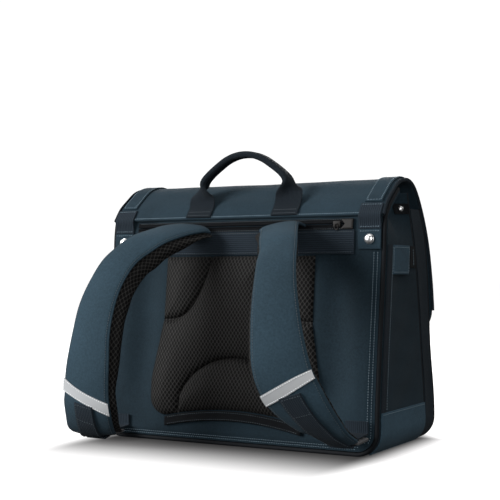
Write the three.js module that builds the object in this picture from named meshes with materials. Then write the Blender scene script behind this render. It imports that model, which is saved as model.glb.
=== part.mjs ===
// A cloth school satchel with a flap and a padded carrying system.
// Millimetres, +Z up. The harness side faces -Y, the closing side +Y, and the origin is under
// the middle of the base.
import * as THREE from "three";
import { mergeVertices } from "three/addons/utils/BufferGeometryUtils.js";

// Body sizes
const BODY_WIDTH = 380;
const BODY_DEPTH = 188;
const BODY_HEIGHT = 320; // to the top of the flap
const CORNER_RADIUS = 28; // bottom corners, seen from behind
const BACK_WALL = 8; // padded
const GUSSET_WALL = 2.5;
const FRONT_WALL = 4;
const FLAP_WALL = 4;
const FLAP_WIDTH = 372;
const FLAP_CORNER = 34; // rounding of the flap's front corners
const PIPING_RADIUS = 2.5;
const GUSSET_TOP = 302;
const FRONT_TOP = 284;
const GUSSET_FOLD_DEPTH = 24; // how far the gusset folds in at the top
const GUSSET_FOLD_START = 240;
const VALLEY_DEPTH = 5; // soft valleys beside the mesh pads
const VALLEY_OFFSET = 134;
const VALLEY_WIDTH = 58;
const FRONT_CROWN = 2.5; // how far the front panel swells
const GAP = 0.35; // between sewn pieces
const SEAM_GAP = 0.6; // between a piping and its neighbours

// Sizes of what is sewn on
const GUSSET_BINDING_WIDTH = 15;
const TAPE_WALL = 1.6; // webbing and patches
const SIDE_PATCH_WIDTH = 52;
const SIDE_PATCH_HEIGHT = 34;
const SIDE_PATCH_TOP = 240;
const SIDE_WEBBING_HEIGHT = 26;
const CORNER_PATCH_TOP = 50;
const CORNER_PATCH_ARC = 60; // degrees of the corner that the patch follows
const STRIP_OFFSET = 171; // middle of the corner strips, tabs and rivets
const STRIP_WIDTH = 22;
const STRIP_LENGTH = 290;
const STRIP_START = 18; // from the flap's back edge
const TAB_WIDTH = 28;
const TAB_RISE = 15; // how far the tab reaches up the flap
const RIVET_PATCH_HEIGHT = 23;
const RIVET_RADIUS = 6;
const RIVET_RISE = 2.6;
const SMALL_RIVET_RADIUS = 3;
const SMALL_RIVET_RISE = 1.5;
const SMALL_RIVET_LIFT = 0.9; // its seat over the middle of the tab's facet
const BINDING_WALL = 2.4;
const ZIP_TOP = 270.8;
const ZIP_TAPE_HEIGHT = 6;
const ZIP_LENGTH = 300;
const ZIP_GAP = 0.9; // the line where the teeth meet
const GARAGE_LENGTH = 15;
const SLIDER_LENGTH = 9;
const SLIDER_WIDTH = 7;
const BAND_HEIGHT = 28;
const BAND_LENGTH = 304;
const CLASP_WIDTH = 34;
const CLASP_HEIGHT = 26;
const CLASP_WALL = 5;

// Mesh pads on the back
const PAD_TOP = 228;
const PAD_HALF_TOP = 103;
const PAD_HALF_BOTTOM = 117;
const PAD_EDGE = 4;
const PAD_CROWN = 10;
const PAD_LIFT = 0.7; // off the panel
const GROOVE = 3; // between pads
const UPPER_PAD_FOOT = 150; // where the side grooves reach the pad's edge
const UPPER_PAD_INNER = 37; // from the middle to the side grooves, at the top
const ARCH_TOP = 104; // groove over the bottom pad
const ARCH_HALF = 78;
const PAD_BINDING_HEIGHT = 12;
const PAD_BINDING_HALF = 94;
const PAD_BINDING_RISE = 30; // lower edge at the middle
const PAD_BINDING_ARCH = 11; // how far it drops to the ends

// Carry handle
const HANDLE_SPACING = 120;
const HANDLE_WIDTH = 35;
const HANDLE_LEG = 17; // length of each end on the flap
const HANDLE_RISE = 66; // from where it leaves the flap to the hand part
const HANDLE_WALL = 2;
const HANDLE_FOLD_WIDTH = 18; // where it is folded over for the hand
const HANDLE_FOLD_WALL = 8;
const HANDLE_FOLD_ROUNDING = 0.35; // how much thinner the fold is at its edges

// Shoulder straps
const STRAP_ANCHOR = 54; // from the middle to a strap's top end
const STRAP_SPREAD = 112; // how far it leans outwards on its way down
const STRAP_REACH = 138; // how far it stands off the back
const STRAP_TOP = 266;
const STRAP_WIDTH = 72;
const STRAP_PADDING = 20; // shell and lining together
const SHELL_WALL = 3;
const STRAP_CROWN = 4;
const LINING_OVERHANG = 9; // how far the lining swells past the shell on the inner side
const LINING_INSET = 6; // how far it draws in on the outer side
const REFLECTOR_HEIGHT = 14;
const REFLECTOR_WALL = 0.8;
const WEBBING_START = 1.08; // where the strap's webbing comes out below the band, in band heights
const LINING_ROUNDING = 0.5; // how much thinner the lining is at its edges
const WEBBING_WIDTH = 28;
const BUCKLE_WALL = 3.6;
const BUCKLE_BAR = 4;
const UPPER_SLOT = 8;
const LOWER_SLOT = 7;
const SLOT_CLEARANCE = 1.5; // at each side of the webbing
const TAIL_LENGTH = 6; // of the lower webbing past the buckle
const BUCKLE_STANDOFF = 22; // from the strap's end to the buckle's middle bar
const LOWER_ANCHOR_HEIGHT = 14; // length of webbing sewn to the back

// The side section, from the base up: heights are shares of BODY_HEIGHT, the rest of half of
// BODY_DEPTH. back is the harness side, seam the line between gusset and front, front the face.
const SIDE_SECTION = [
  { height: 0, back: -0.975, seam: 0.62, front: 0.95 },
  { height: 0.115, back: -0.964, seam: 0.61, front: 0.965 },
  { height: 0.378, back: -0.883, seam: 0.475, front: 0.81 },
  { height: 0.556, back: -0.815, seam: 0.378, front: 0.745 },
  { height: 0.737, back: -0.752, seam: 0.245, front: 0.65 },
  { height: 0.815, back: -0.732, seam: 0.15, front: 0.57 },
  { height: 0.889, back: -0.6, seam: 0.06, front: 0.42 },
  { height: 0.96, back: -0.34, seam: -0.01, front: 0.25 },
];

// The flap's outer line, from its back edge over the top to its front edge, in the same shares
const FLAP_SECTION = [
  { depth: -0.745, height: 0.859 },
  { depth: -0.63, height: 0.903 },
  { depth: -0.45, height: 0.947 },
  { depth: -0.29, height: 0.98 },
  { depth: -0.13, height: 0.997 },
  { depth: 0.1, height: 1 },
  { depth: 0.265, height: 0.981 },
  { depth: 0.4, height: 0.946 },
  { depth: 0.53, height: 0.897 },
  { depth: 0.725, height: 0.8 },
  { depth: 0.86, height: 0.684 },
  { depth: 0.955, height: 0.553 },
  { depth: 0.98, height: 0.497 },
  { depth: 0.965, height: 0.447 },
  { depth: 0.905, height: 0.4 },
];

// The shoulder straps, from the top end down: out is a share of STRAP_SPREAD, reach of
// STRAP_REACH, height of STRAP_TOP, width of STRAP_WIDTH and padding of STRAP_PADDING. roll is
// the turn in degrees that raises the outer edge.
const STRAP_UPPER = [
  { out: 0, reach: 0, height: 1, width: 0.66, padding: 0.4, roll: 10 },
  { out: 0.052, reach: 0.087, height: 1.004, width: 0.66, padding: 0.5, roll: 10 },
  { out: 0.129, reach: 0.203, height: 0.998, width: 0.65, padding: 0.65, roll: 10 },
  { out: 0.216, reach: 0.348, height: 0.977, width: 0.65, padding: 0.8, roll: 9 },
  { out: 0.302, reach: 0.493, height: 0.947, width: 0.65, padding: 0.9, roll: 9 },
  { out: 0.379, reach: 0.616, height: 0.906, width: 0.65, padding: 1, roll: 8 },
  { out: 0.448, reach: 0.754, height: 0.85, width: 0.67, padding: 1, roll: 3 },
  { out: 0.517, reach: 0.884, height: 0.752, width: 0.7, padding: 1, roll: -2 },
  { out: 0.574, reach: 0.967, height: 0.639, width: 0.77, padding: 1, roll: -5 },
  { out: 0.619, reach: 1, height: 0.519, width: 0.84, padding: 0.98, roll: -8 },
  { out: 0.655, reach: 0.997, height: 0.414, width: 0.92, padding: 0.8, roll: -8 },
];
const STRAP_LOWER_RIGHT = [
  { out: 0.672, reach: 0.978, height: 0.368, width: 0.95, padding: 0.6, roll: -7 },
  { out: 0.737, reach: 0.899, height: 0.274, width: 1, padding: 0.42, roll: -5 },
  { out: 0.819, reach: 0.775, height: 0.188, width: 0.95, padding: 0.38, roll: -2 },
  { out: 0.905, reach: 0.63, height: 0.12, width: 0.82, padding: 0.36, roll: 0 },
  { out: 0.99, reach: 0.485, height: 0.073, width: 0.62, padding: 0.36, roll: 0 },
];
const STRAP_LOWER_LEFT = [
  { out: 0.72, reach: 0.957, height: 0.274, width: 0.97, padding: 0.5, roll: -7 },
  { out: 0.75, reach: 0.913, height: 0.18, width: 1, padding: 0.42, roll: -6 },
  { out: 0.802, reach: 0.812, height: 0.1, width: 0.95, padding: 0.38, roll: -4 },
  { out: 0.879, reach: 0.674, height: 0.047, width: 0.85, padding: 0.36, roll: 0 },
  { out: 0.966, reach: 0.529, height: 0.03, width: 0.62, padding: 0.36, roll: 0 },
];
const REFLECTOR_START = 0.2; // where the reflective band starts between the first two lower rows

// One half of the carry handle above the flap: out is a share of half of HANDLE_SPACING, back of
// half of BODY_DEPTH, rise of HANDLE_RISE, and fold how far the webbing is folded and turned.
const HANDLE_ARCH = [
  { out: 1.01, back: -0.61, rise: 0.185, fold: 0.05 },
  { out: 0.99, back: -0.605, rise: 0.306, fold: 0.35 },
  { out: 0.935, back: -0.6, rise: 0.427, fold: 0.8 },
  { out: 0.767, back: -0.6, rise: 0.571, fold: 1 },
  { out: 0.45, back: -0.6, rise: 0.77, fold: 1 },
  { out: 0, back: -0.6, rise: 0.895, fold: 1 },
];

// Colours
const CANVAS = 0x32414b;
const CANVAS_DARK = 0x20282f;
const WEBBING = 0x2a323c;
const BLACK = 0x141413;
const MESH = 0x191614;
const REFLECTOR = 0x96989b;
const PLASTIC = 0x464648;
const STEEL = 0xd8d8da;

const HALF = BODY_WIDTH / 2;
const HALF_DEPTH = BODY_DEPTH / 2;
const { lerp, degToRad, clamp, smoothstep } = THREE.MathUtils;
const satchel = new THREE.Group();

// Lines in the YZ plane, as lists of [y, z]

function valueAt(rows, from, to, at) {
  let i = 1;
  while (i < rows.length - 1 && at > rows[i][from]) i += 1;
  const [a, b] = [rows[i - 1], rows[i]];
  return lerp(a[to], b[to], clamp((at - a[from]) / (b[from] - a[from]), 0, 1));
}

// The line moved sideways by a distance, to the left of its direction, with mitred corners
function offsetLine(line, distance) {
  return line.map((point, i) => {
    const before = line[Math.max(i - 1, 0)];
    const after = line[Math.min(i + 1, line.length - 1)];
    const first = new THREE.Vector2(point[0] - before[0], point[1] - before[1]).normalize();
    const second = new THREE.Vector2(after[0] - point[0], after[1] - point[1]).normalize();
    const along = first.clone().add(second).normalize();
    const mitre = distance / Math.max(along.dot(i ? first : second), 0.5);
    return [point[0] - along.y * mitre, point[1] + along.x * mitre];
  });
}

function lineLength(line) {
  return line.slice(1).reduce((sum, p, i) => sum + Math.hypot(p[0] - line[i][0], p[1] - line[i][1]), 0);
}

// The stretch of a line between two distances from its start
function cutLine(line, from, to) {
  const kept = [];
  let walked = 0;
  line.slice(1).forEach((end, i) => {
    const start = line[i];
    const length = Math.hypot(end[0] - start[0], end[1] - start[1]);
    const at = (distance) => {
      const share = (distance - walked) / length;
      return [lerp(start[0], end[0], share), lerp(start[1], end[1], share)];
    };
    if (from >= walked && from < walked + length) kept.push(at(from));
    if (walked + length > from && walked + length < to) kept.push(end);
    if (to > walked && to <= walked + length) kept.push(at(to));
    walked += length;
  });
  return kept;
}

// The stretch of a rising line between two heights
function cutHeights(line, from, to) {
  const y = (z) => valueAt(line, 1, 0, z);
  const inner = line.filter((p) => p[1] > from && p[1] < to);
  return [[y(from), from], ...inner, [y(to), to]];
}

const flapLine = FLAP_SECTION.map((row) => [row.depth * HALF_DEPTH, row.height * BODY_HEIGHT]);
const flapLength = lineLength(flapLine);
const underFlap = offsetLine(flapLine, -FLAP_WALL - GAP).slice(0, 4);
const sectionLine = (key) => SIDE_SECTION.map((row) => [row[key] * HALF_DEPTH, row.height * BODY_HEIGHT]);
const belowFlap = sectionLine("back").filter((p) => p[1] < underFlap[0][1] - ZIP_TAPE_HEIGHT);
const backLine = [...belowFlap, ...underFlap];
const seamLine = sectionLine("seam");
const frontLine = sectionLine("front");
const backY = (z) => valueAt(backLine, 1, 0, z);
const frontY = (z) => valueAt(frontLine, 1, 0, z);

// Making closed pieces

function finish(color, roughness = 0.85, metalness = 0) {
  return new THREE.MeshStandardMaterial({ color, roughness, metalness });
}

// The mesh of a closed piece. A mirrored one has its faces turned back to the outside.
function addPiece(name, geometry, material) {
  geometry.deleteAttribute("normal");
  geometry.deleteAttribute("uv");
  const closed = mergeVertices(geometry, 1e-4);
  const index = closed.index.array;
  const corner = (i) => new THREE.Vector3().fromBufferAttribute(closed.attributes.position, index[i]);
  let volume = 0;
  for (let i = 0; i < index.length; i += 3) volume += corner(i).dot(corner(i + 1).cross(corner(i + 2)));
  if (volume < 0) index.reverse();
  closed.computeVertexNormals();
  const mesh = new THREE.Mesh(closed, material);
  mesh.name = name;
  satchel.add(mesh);
  return mesh;
}

// A slab on a grid of columns and rows. place(u, v, w) gives each point, with w 0 on the
// underside and 1 on top.
function addSlab(name, material, columns, rows, place) {
  const across = columns.length - 1;
  const along = rows.length - 1;
  const box = new THREE.BoxGeometry(across, along, 1, across, along, 1);
  const position = box.attributes.position;
  for (let i = 0; i < position.count; i += 1) {
    const column = columns[Math.round(position.getX(i) + across / 2)];
    const row = rows[Math.round(position.getY(i) + along / 2)];
    position.setXYZ(i, ...place(column, row, position.getZ(i) > 0 ? 1 : 0));
  }
  return addPiece(name, box, material);
}

const steps = (from, to, count) => Array.from({ length: count + 1 }, (_, i) => lerp(from, to, i / count));
const indices = (list) => list.map((_, i) => i);

// Webbing or tape along a line in the YZ plane, between two places in x
function addRibbon(name, material, line, left, right, wall, lift = GAP) {
  const [under, over] = [offsetLine(line, lift), offsetLine(line, lift + wall)];
  return addSlab(name, material, [left, right], indices(line), (x, i, w) => [x, ...(w ? over : under)[i]]);
}

// A dome rivet on a seat, facing along the normal
function addRivet(name, radius, rise, seat, normal) {
  const profile = [new THREE.Vector2(0, 0), new THREE.Vector2(radius, 0)];
  steps(0.15, 0.5, 4).forEach((t) => {
    profile.push(new THREE.Vector2(radius * Math.cos(t * Math.PI), rise * Math.sin(t * Math.PI)));
  });
  profile[profile.length - 1].x = 0;
  const rivet = addPiece(name, new THREE.LatheGeometry(profile, 12), finish(STEEL, 0.25, 1));
  rivet.quaternion.setFromUnitVectors(new THREE.Vector3(0, 1, 0), normal);
  rivet.position.copy(seat);
}

// The same piece on the right and, mirrored, on the left
function onBothSides(make) {
  make("_right", 1);
  make("_left", -1);
}

// The body outline seen from behind: half width at a height, with the outline drawn in by inset
function halfAt(z, inset = 0) {
  const radius = CORNER_RADIUS - inset;
  const below = clamp(CORNER_RADIUS - z, 0, radius);
  return HALF - CORNER_RADIUS + Math.sqrt(radius * radius - below * below);
}

// The outline as a line of [x, z] from the right top round the base to the left top
function outline(inset, heights, arcSteps) {
  const radius = CORNER_RADIUS - inset;
  const side = heights.filter((z) => z > CORNER_RADIUS + 1).map((z) => [HALF - inset, z]);
  const arc = steps(0, Math.PI / 2, arcSteps).map((angle) => [
    HALF - CORNER_RADIUS + radius * Math.cos(angle),
    CORNER_RADIUS - radius * Math.sin(angle),
  ]);
  const right = [...side.reverse(), ...arc];
  return [...right, ...right.map(([x, z]) => [-x, z]).reverse()];
}

const cornerHeights = (inset) =>
  steps(0, Math.PI / 2, 4).map((a) => CORNER_RADIUS - (CORNER_RADIUS - inset) * Math.cos(a));
const heightsOf = (line, top) => {
  const inner = line.map((p) => p[1]).filter((z) => z > CORNER_RADIUS + 1 && z < top - 2);
  return [...inner, top];
};

// Room for a piping between a panel and a gusset
const seamRoom = 2 * PIPING_RADIUS + SEAM_GAP;

// A panel with piping round its edge, where it is as thin as the piping
function addPanel(name, line, top, wall, faces, relief) {
  const rows = [...cornerHeights(seamRoom), ...heightsOf(line, top)];
  addSlab(name, finish(CANVAS), steps(-1, 1, 14), rows, (u, z, w) => {
    const x = u * halfAt(z, seamRoom);
    const shift = w ? relief(x, z) : lerp(wall, Math.min(wall, 2 * PIPING_RADIUS), Math.abs(u) ** 6);
    return [x, valueAt(line, 1, 0, z) - faces * shift, z];
  });
}

// Share of 0 to 1 that swells between two ends
const swell = (t) => 1 - Math.pow(Math.abs(2 * t - 1), 2.5);

function valley(x, z) {
  const off = Math.abs(Math.abs(x) - VALLEY_OFFSET) / (VALLEY_WIDTH / 2);
  const across = off < 1 ? 0.5 + 0.5 * Math.cos(Math.PI * off) : 0;
  const fade = smoothstep(z, CORNER_RADIUS, 3 * CORNER_RADIUS) * (1 - smoothstep(z, PAD_TOP - 20, PAD_TOP));
  return VALLEY_DEPTH * across * fade;
}

addPanel("back_panel", backLine, underFlap[3][1], BACK_WALL, -1, valley);
addPanel("front_panel", frontLine, FRONT_TOP, FRONT_WALL, 1, (x, z) => {
  const across = swell((x / HALF + 1) / 2);
  return FRONT_CROWN * (1 - across * swell(z / FRONT_TOP));
});

// A piping round the outline, its middle on the line moved sideways by its radius
function addPiping(name, line, faces, top) {
  const middle = offsetLine(line, faces * PIPING_RADIUS);
  const path = outline(PIPING_RADIUS, heightsOf(line, top), 5);
  const tube = new THREE.CylinderGeometry(1, 1, path.length - 1, 6, path.length - 1);
  const position = tube.attributes.position;
  for (let i = 0; i < position.count; i += 1) {
    const step = Math.round(position.getY(i) + (path.length - 1) / 2);
    const [x, z] = offsetLine(path, position.getX(i) * PIPING_RADIUS)[step];
    position.setXYZ(i, x, valueAt(middle, 1, 0, path[step][1]) + position.getZ(i) * PIPING_RADIUS, z);
  }
  addPiece(name, tube, finish(BLACK, 0.8));
}
addPiping("back_piping", backLine, -1, underFlap[3][1] - 4);
addPiping("seam_piping", seamLine, 1, GUSSET_TOP);
addPiping("front_piping", frontLine, 1, FRONT_TOP);

// Gusset and base: walls between two pipings
const lineAside = (line, distance) => {
  const moved = offsetLine(line, distance);
  return (z) => valueAt(moved, 1, 0, z);
};
const gussetFrom = lineAside(backLine, -seamRoom);
const gussetTo = lineAside(seamLine, seamRoom);

function foldIn(share, z) {
  const rise = smoothstep(z, GUSSET_FOLD_START, GUSSET_TOP);
  return GUSSET_FOLD_DEPTH * rise * Math.sin(Math.PI * share);
}

const gussetHeights = [CORNER_RADIUS + 2 * GAP, ...heightsOf(seamLine, GUSSET_FOLD_START)];
const foldHeights = steps(GUSSET_FOLD_START, GUSSET_TOP, 5).slice(1);
const gussetColumns = steps(0, 1, 6);
onBothSides((side, mirror) => {
  const rows = [...gussetHeights, ...foldHeights];
  addSlab("side_gusset" + side, finish(CANVAS), gussetColumns, rows, (u, z, w) => {
    const x = HALF - foldIn(u, z) - (w ? 0 : GUSSET_WALL);
    return [mirror * x, lerp(gussetFrom(z), gussetTo(z), u), z];
  });
});

function addBand(name, material, path, from, to) {
  const walls = [offsetLine(path, 0), offsetLine(path, -GUSSET_WALL)];
  addSlab(name, material, indices(path), [0, 1], (i, v, w) => {
    const [x, z] = walls[w ? 0 : 1][i];
    return [x, lerp(from(path[i][1]), to(path[i][1]), v), z];
  });
}
addBand("base_panel", finish(CANVAS_DARK), outline(0, [], 5), gussetFrom, gussetTo);
addBand(
  "front_gusset",
  finish(CANVAS_DARK),
  outline(0, heightsOf(frontLine, FRONT_TOP), 5),
  lineAside(seamLine, -SEAM_GAP),
  lineAside(frontLine, seamRoom),
);

// Bindings, patches and webbing on the gusset
onBothSides((side, mirror) => {
  const bindingHeights = [CORNER_PATCH_TOP + GAP, ...heightsOf(seamLine, GUSSET_FOLD_START)].filter(
    (z) => z > CORNER_PATCH_TOP,
  );
  addSlab("gusset_binding" + side, finish(WEBBING), [0, 1], bindingHeights, (u, z, w) => [
    mirror * (HALF + GAP + w * TAPE_WALL),
    gussetFrom(z) + u * GUSSET_BINDING_WIDTH,
    z,
  ]);

  const patchFrom = (z) => gussetFrom(z) + GUSSET_BINDING_WIDTH + GAP;
  const patchTo = (z) => patchFrom(z) + SIDE_PATCH_WIDTH;
  const patchHeights = [SIDE_PATCH_TOP - SIDE_PATCH_HEIGHT, ...heightsOf(seamLine, SIDE_PATCH_TOP)].filter(
    (z) => z >= SIDE_PATCH_TOP - SIDE_PATCH_HEIGHT,
  );
  addSlab("side_patch" + side, finish(CANVAS), [0, 1], patchHeights, (u, z, w) => [
    mirror * (HALF + GAP + w * TAPE_WALL),
    lerp(patchFrom(z), patchTo(z), u),
    z,
  ]);

  const webbingHeights = [SIDE_PATCH_TOP - SIDE_WEBBING_HEIGHT - GAP, SIDE_PATCH_TOP - GAP];
  addSlab("side_webbing" + side, finish(BLACK), [0, 1], webbingHeights, (u, z, w) => [
    mirror * (HALF + GAP + w * TAPE_WALL),
    lerp(patchTo(z) + GAP, gussetTo(z), u),
    z,
  ]);

  const turn = degToRad(CORNER_PATCH_ARC);
  const cornerRows = [-(CORNER_PATCH_TOP - CORNER_RADIUS) / CORNER_RADIUS, ...steps(0, turn, 4)];
  addSlab("corner_patch" + side, finish(CANVAS), [0, 1], cornerRows, (u, angle, w) => {
    const radius = CORNER_RADIUS + GAP + w * TAPE_WALL;
    const level = angle < 0 ? CORNER_PATCH_TOP : CORNER_RADIUS - radius * Math.sin(angle);
    const x = HALF - CORNER_RADIUS + (angle < 0 ? radius : radius * Math.cos(angle));
    return [mirror * x, lerp(gussetFrom(level), gussetTo(level), u), level];
  });

  // The tab lies on two facets of the fold beside its front seam, with a small rivet on the last
  const onFold = (share, z, lift) => [
    mirror * (HALF - foldIn(share, z) + lift),
    lerp(gussetFrom(z), gussetTo(z), share),
    z,
  ];
  const tabColumns = gussetColumns.slice(-3).reverse();
  const tabHeights = foldHeights.slice(2, 4);
  const tabFace = SEAM_GAP + TAPE_WALL;
  addSlab("gusset_tab" + side, finish(BLACK), tabColumns, tabHeights, (u, z, w) =>
    onFold(u, z, w ? tabFace : SEAM_GAP),
  );
  const [seamFoot, innerFoot, seamHead, innerHead] = tabHeights.flatMap((z) =>
    tabColumns.slice(0, 2).map((u) => new THREE.Vector3(...onFold(u, z, tabFace))),
  );
  const seat = seamFoot.clone().add(innerFoot).add(seamHead).add(innerHead).divideScalar(4);
  const normal = innerHead.sub(seamFoot).cross(seamHead.sub(innerFoot)).normalize();
  normal.multiplyScalar(mirror * Math.sign(normal.x));
  seat.addScaledVector(normal, SMALL_RIVET_LIFT);
  addRivet("gusset_rivet" + side, SMALL_RIVET_RADIUS, SMALL_RIVET_RISE, seat, normal);
});

// Flap, with round front corners
const flapInner = offsetLine(flapLine, -FLAP_WALL);
const flapRun = flapLine.map((_, i) => lineLength(flapLine.slice(0, i + 1)));

function flapHalf(i) {
  const left = clamp(FLAP_CORNER - (flapLength - flapRun[i]), 0, FLAP_CORNER);
  return FLAP_WIDTH / 2 - FLAP_CORNER + Math.sqrt(FLAP_CORNER ** 2 - left ** 2);
}
addSlab("flap", finish(CANVAS), steps(-1, 1, 6), indices(flapLine), (u, i, w) => [
  u * flapHalf(i),
  ...(w ? flapLine : flapInner)[i],
]);

const flapStretch = (from, to) => cutLine(flapLine, from, to);
onBothSides((side, mirror) => {
  const edge = mirror * (FLAP_WIDTH / 2 + GAP);
  addRibbon(
    "flap_binding" + side,
    finish(WEBBING),
    flapStretch(0, flapLength - FLAP_CORNER),
    edge,
    edge + mirror * BINDING_WALL,
    FLAP_WALL + GAP,
    -FLAP_WALL,
  );
  const [left, right] = [STRIP_OFFSET - STRIP_WIDTH / 2, STRIP_OFFSET + STRIP_WIDTH / 2];
  const strip = flapStretch(STRIP_START, STRIP_START + STRIP_LENGTH);
  addRibbon("corner_strip" + side, finish(CANVAS), strip, mirror * left, mirror * right, TAPE_WALL);
});

// Rivet tabs: webbing from the flap down to a riveted patch on the back
const patchTop = ZIP_TOP - 2 * ZIP_TAPE_HEIGHT - ZIP_GAP;
onBothSides((side, mirror) => {
  const [left, right] = [mirror * (STRIP_OFFSET - TAB_WIDTH / 2), mirror * (STRIP_OFFSET + TAB_WIDTH / 2)];
  const landing = offsetLine(cutHeights(backLine, patchTop + GAP, patchTop + ZIP_TAPE_HEIGHT), GAP);
  const tabLine = [...landing, ...offsetLine(flapStretch(0, TAB_RISE), GAP)];
  addRibbon("tab_webbing" + side, finish(WEBBING), tabLine, left, right, TAPE_WALL, 0);
  const patchLine = cutHeights(backLine, patchTop - RIVET_PATCH_HEIGHT, patchTop);
  addRibbon("rivet_patch" + side, finish(CANVAS), patchLine, left, right, TAPE_WALL);
  const rivetLine = offsetLine(patchLine, TAPE_WALL + 2 * GAP);
  const [foot, head] = rivetLine.slice(-2);
  const along = new THREE.Vector2(head[0] - foot[0], head[1] - foot[1]).normalize();
  const rivetHeight = patchTop - RIVET_PATCH_HEIGHT / 2;
  const seat = new THREE.Vector3(mirror * STRIP_OFFSET, valueAt(rivetLine, 1, 0, rivetHeight), rivetHeight);
  addRivet("rivet" + side, RIVET_RADIUS, RIVET_RISE, seat, new THREE.Vector3(0, -along.y, along.x));
});

// Zip and anchor band
const zipMiddle = ZIP_TOP - ZIP_TAPE_HEIGHT - ZIP_GAP / 2;
const tapeLine = (from, to) => cutHeights(backLine, from, to);
const garageStart = ZIP_LENGTH / 2 - GARAGE_LENGTH;
addRibbon(
  "zip_tape_upper",
  finish(BLACK),
  tapeLine(ZIP_TOP - ZIP_TAPE_HEIGHT, ZIP_TOP),
  -ZIP_LENGTH / 2,
  ZIP_LENGTH / 2,
  TAPE_WALL,
);
addRibbon(
  "zip_tape_lower",
  finish(BLACK),
  tapeLine(patchTop, patchTop + ZIP_TAPE_HEIGHT),
  -ZIP_LENGTH / 2,
  ZIP_LENGTH / 2,
  TAPE_WALL,
);
addRibbon(
  "zip_garage",
  finish(BLACK),
  tapeLine(patchTop + ZIP_GAP, ZIP_TOP - ZIP_GAP),
  garageStart,
  ZIP_LENGTH / 2,
  TAPE_WALL / 2,
  TAPE_WALL + 2 * GAP,
);
addRibbon(
  "zip_slider",
  finish(PLASTIC, 0.4),
  tapeLine(zipMiddle - SLIDER_WIDTH / 2, zipMiddle + SLIDER_WIDTH / 2),
  garageStart - SLIDER_LENGTH - GAP,
  garageStart - GAP,
  2 * TAPE_WALL,
  TAPE_WALL + 2 * GAP,
);
const bandTop = patchTop - GAP;
const bandLine = cutHeights(backLine, bandTop - BAND_HEIGHT, bandTop);
addRibbon("anchor_band", finish(WEBBING), bandLine, -BAND_LENGTH / 2, BAND_LENGTH / 2, TAPE_WALL);

// Mesh pads. Their outlines are heights over x, counted from the middle.
const padTop = Math.min(PAD_TOP, bandTop - BAND_HEIGHT - GAP);
const bindingFoot = (x) => PAD_BINDING_RISE - PAD_BINDING_ARCH * (x / PAD_BINDING_HALF) ** 2;
const bindingHead = (x) => bindingFoot(x) + PAD_BINDING_HEIGHT;
const archAt = (x) => {
  const foot = bindingHead(ARCH_HALF) + GROOVE;
  return foot + (ARCH_TOP - foot) * Math.sqrt(Math.max(1 - (x / ARCH_HALF) ** 2, 0));
};
// The side groove: height at a distance from the middle
const grooveAt = (x) => {
  const share = clamp((x - UPPER_PAD_INNER) / (PAD_HALF_TOP - UPPER_PAD_INNER), 0, 1);
  return UPPER_PAD_FOOT + (padTop - UPPER_PAD_FOOT) * (1 - share) ** 3;
};

function addPad(name, columns, foot, head, rowCount = 6) {
  const [first, last] = [columns[0], columns[columns.length - 1]];
  addSlab(name, finish(MESH, 0.95), columns, steps(0, 1, rowCount), (x, v, w) => {
    const z = lerp(foot(x), head(x), v);
    const crown = swell((x - first) / (last - first)) * swell(v);
    const lift = PAD_LIFT + w * (PAD_EDGE + (PAD_CROWN - PAD_EDGE) * crown);
    return [x, backY(z) - lift, z];
  });
}

// The outer edge of the pads: x runs out to PAD_HALF_BOTTOM, then the height closes round it
const sideFoot = (x) => {
  const from = PAD_BINDING_HALF;
  const share = clamp((Math.abs(x) - from) / (PAD_HALF_BOTTOM - from), 0, 1);
  return bindingHead(from) + GROOVE + (CORNER_RADIUS - PAD_EDGE) * (1 - Math.sqrt(1 - share * share));
};
const sideHead = (x) => {
  const share = clamp((Math.abs(x) - PAD_HALF_TOP) / (PAD_HALF_BOTTOM - PAD_HALF_TOP), 0, 1);
  return lerp(UPPER_PAD_FOOT - GROOVE, ARCH_TOP * 0.72, share);
};
const centreFoot = (x) => {
  const distance = Math.abs(x);
  if (distance < ARCH_HALF) return archAt(x) + GROOVE;
  return distance < PAD_BINDING_HALF ? bindingHead(x) + GROOVE : sideFoot(x);
};
const centreHead = (x) => {
  const distance = Math.abs(x);
  if (distance < UPPER_PAD_INNER) return padTop;
  return distance < PAD_HALF_TOP ? grooveAt(distance) - GROOVE : sideHead(x);
};
const halfColumns = [
  0,
  UPPER_PAD_INNER / 2,
  UPPER_PAD_INNER - 1,
  UPPER_PAD_INNER + GROOVE,
  ARCH_HALF * 0.7,
  ARCH_HALF * 0.88,
  ARCH_HALF * 0.97,
  ARCH_HALF + 1,
  PAD_BINDING_HALF,
  PAD_HALF_TOP,
  lerp(PAD_HALF_TOP, PAD_HALF_BOTTOM, 0.6),
  PAD_HALF_BOTTOM,
];
const bothHalves = (columns) => [...columns.slice(1).map((x) => -x).reverse(), ...columns];
addPad("mesh_pad_centre", bothHalves(halfColumns), centreFoot, centreHead);
const bottomColumns = [0, 0.25, 0.5, 0.7, 0.85, 0.95].map((share) => share * ARCH_HALF);
addPad(
  "mesh_pad_bottom",
  bothHalves(bottomColumns),
  (x) => bindingHead(x) + GROOVE,
  archAt,
);
onBothSides((side, mirror) => {
  const columns = steps(UPPER_PAD_INNER + GROOVE, PAD_HALF_TOP, 6).map((x) => mirror * x);
  addPad("mesh_pad_upper" + side, columns, (x) => grooveAt(Math.abs(x) - GROOVE / 2), () => padTop, 4);
});
addSlab(
  "pad_binding",
  finish(BLACK),
  steps(-PAD_BINDING_HALF, PAD_BINDING_HALF, 10),
  [0, 1],
  (x, v, w) => {
    const z = lerp(bindingFoot(x), bindingHead(x), v);
    return [x, backY(z) - PAD_LIFT - w * 2 * TAPE_WALL, z];
  },
);

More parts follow.
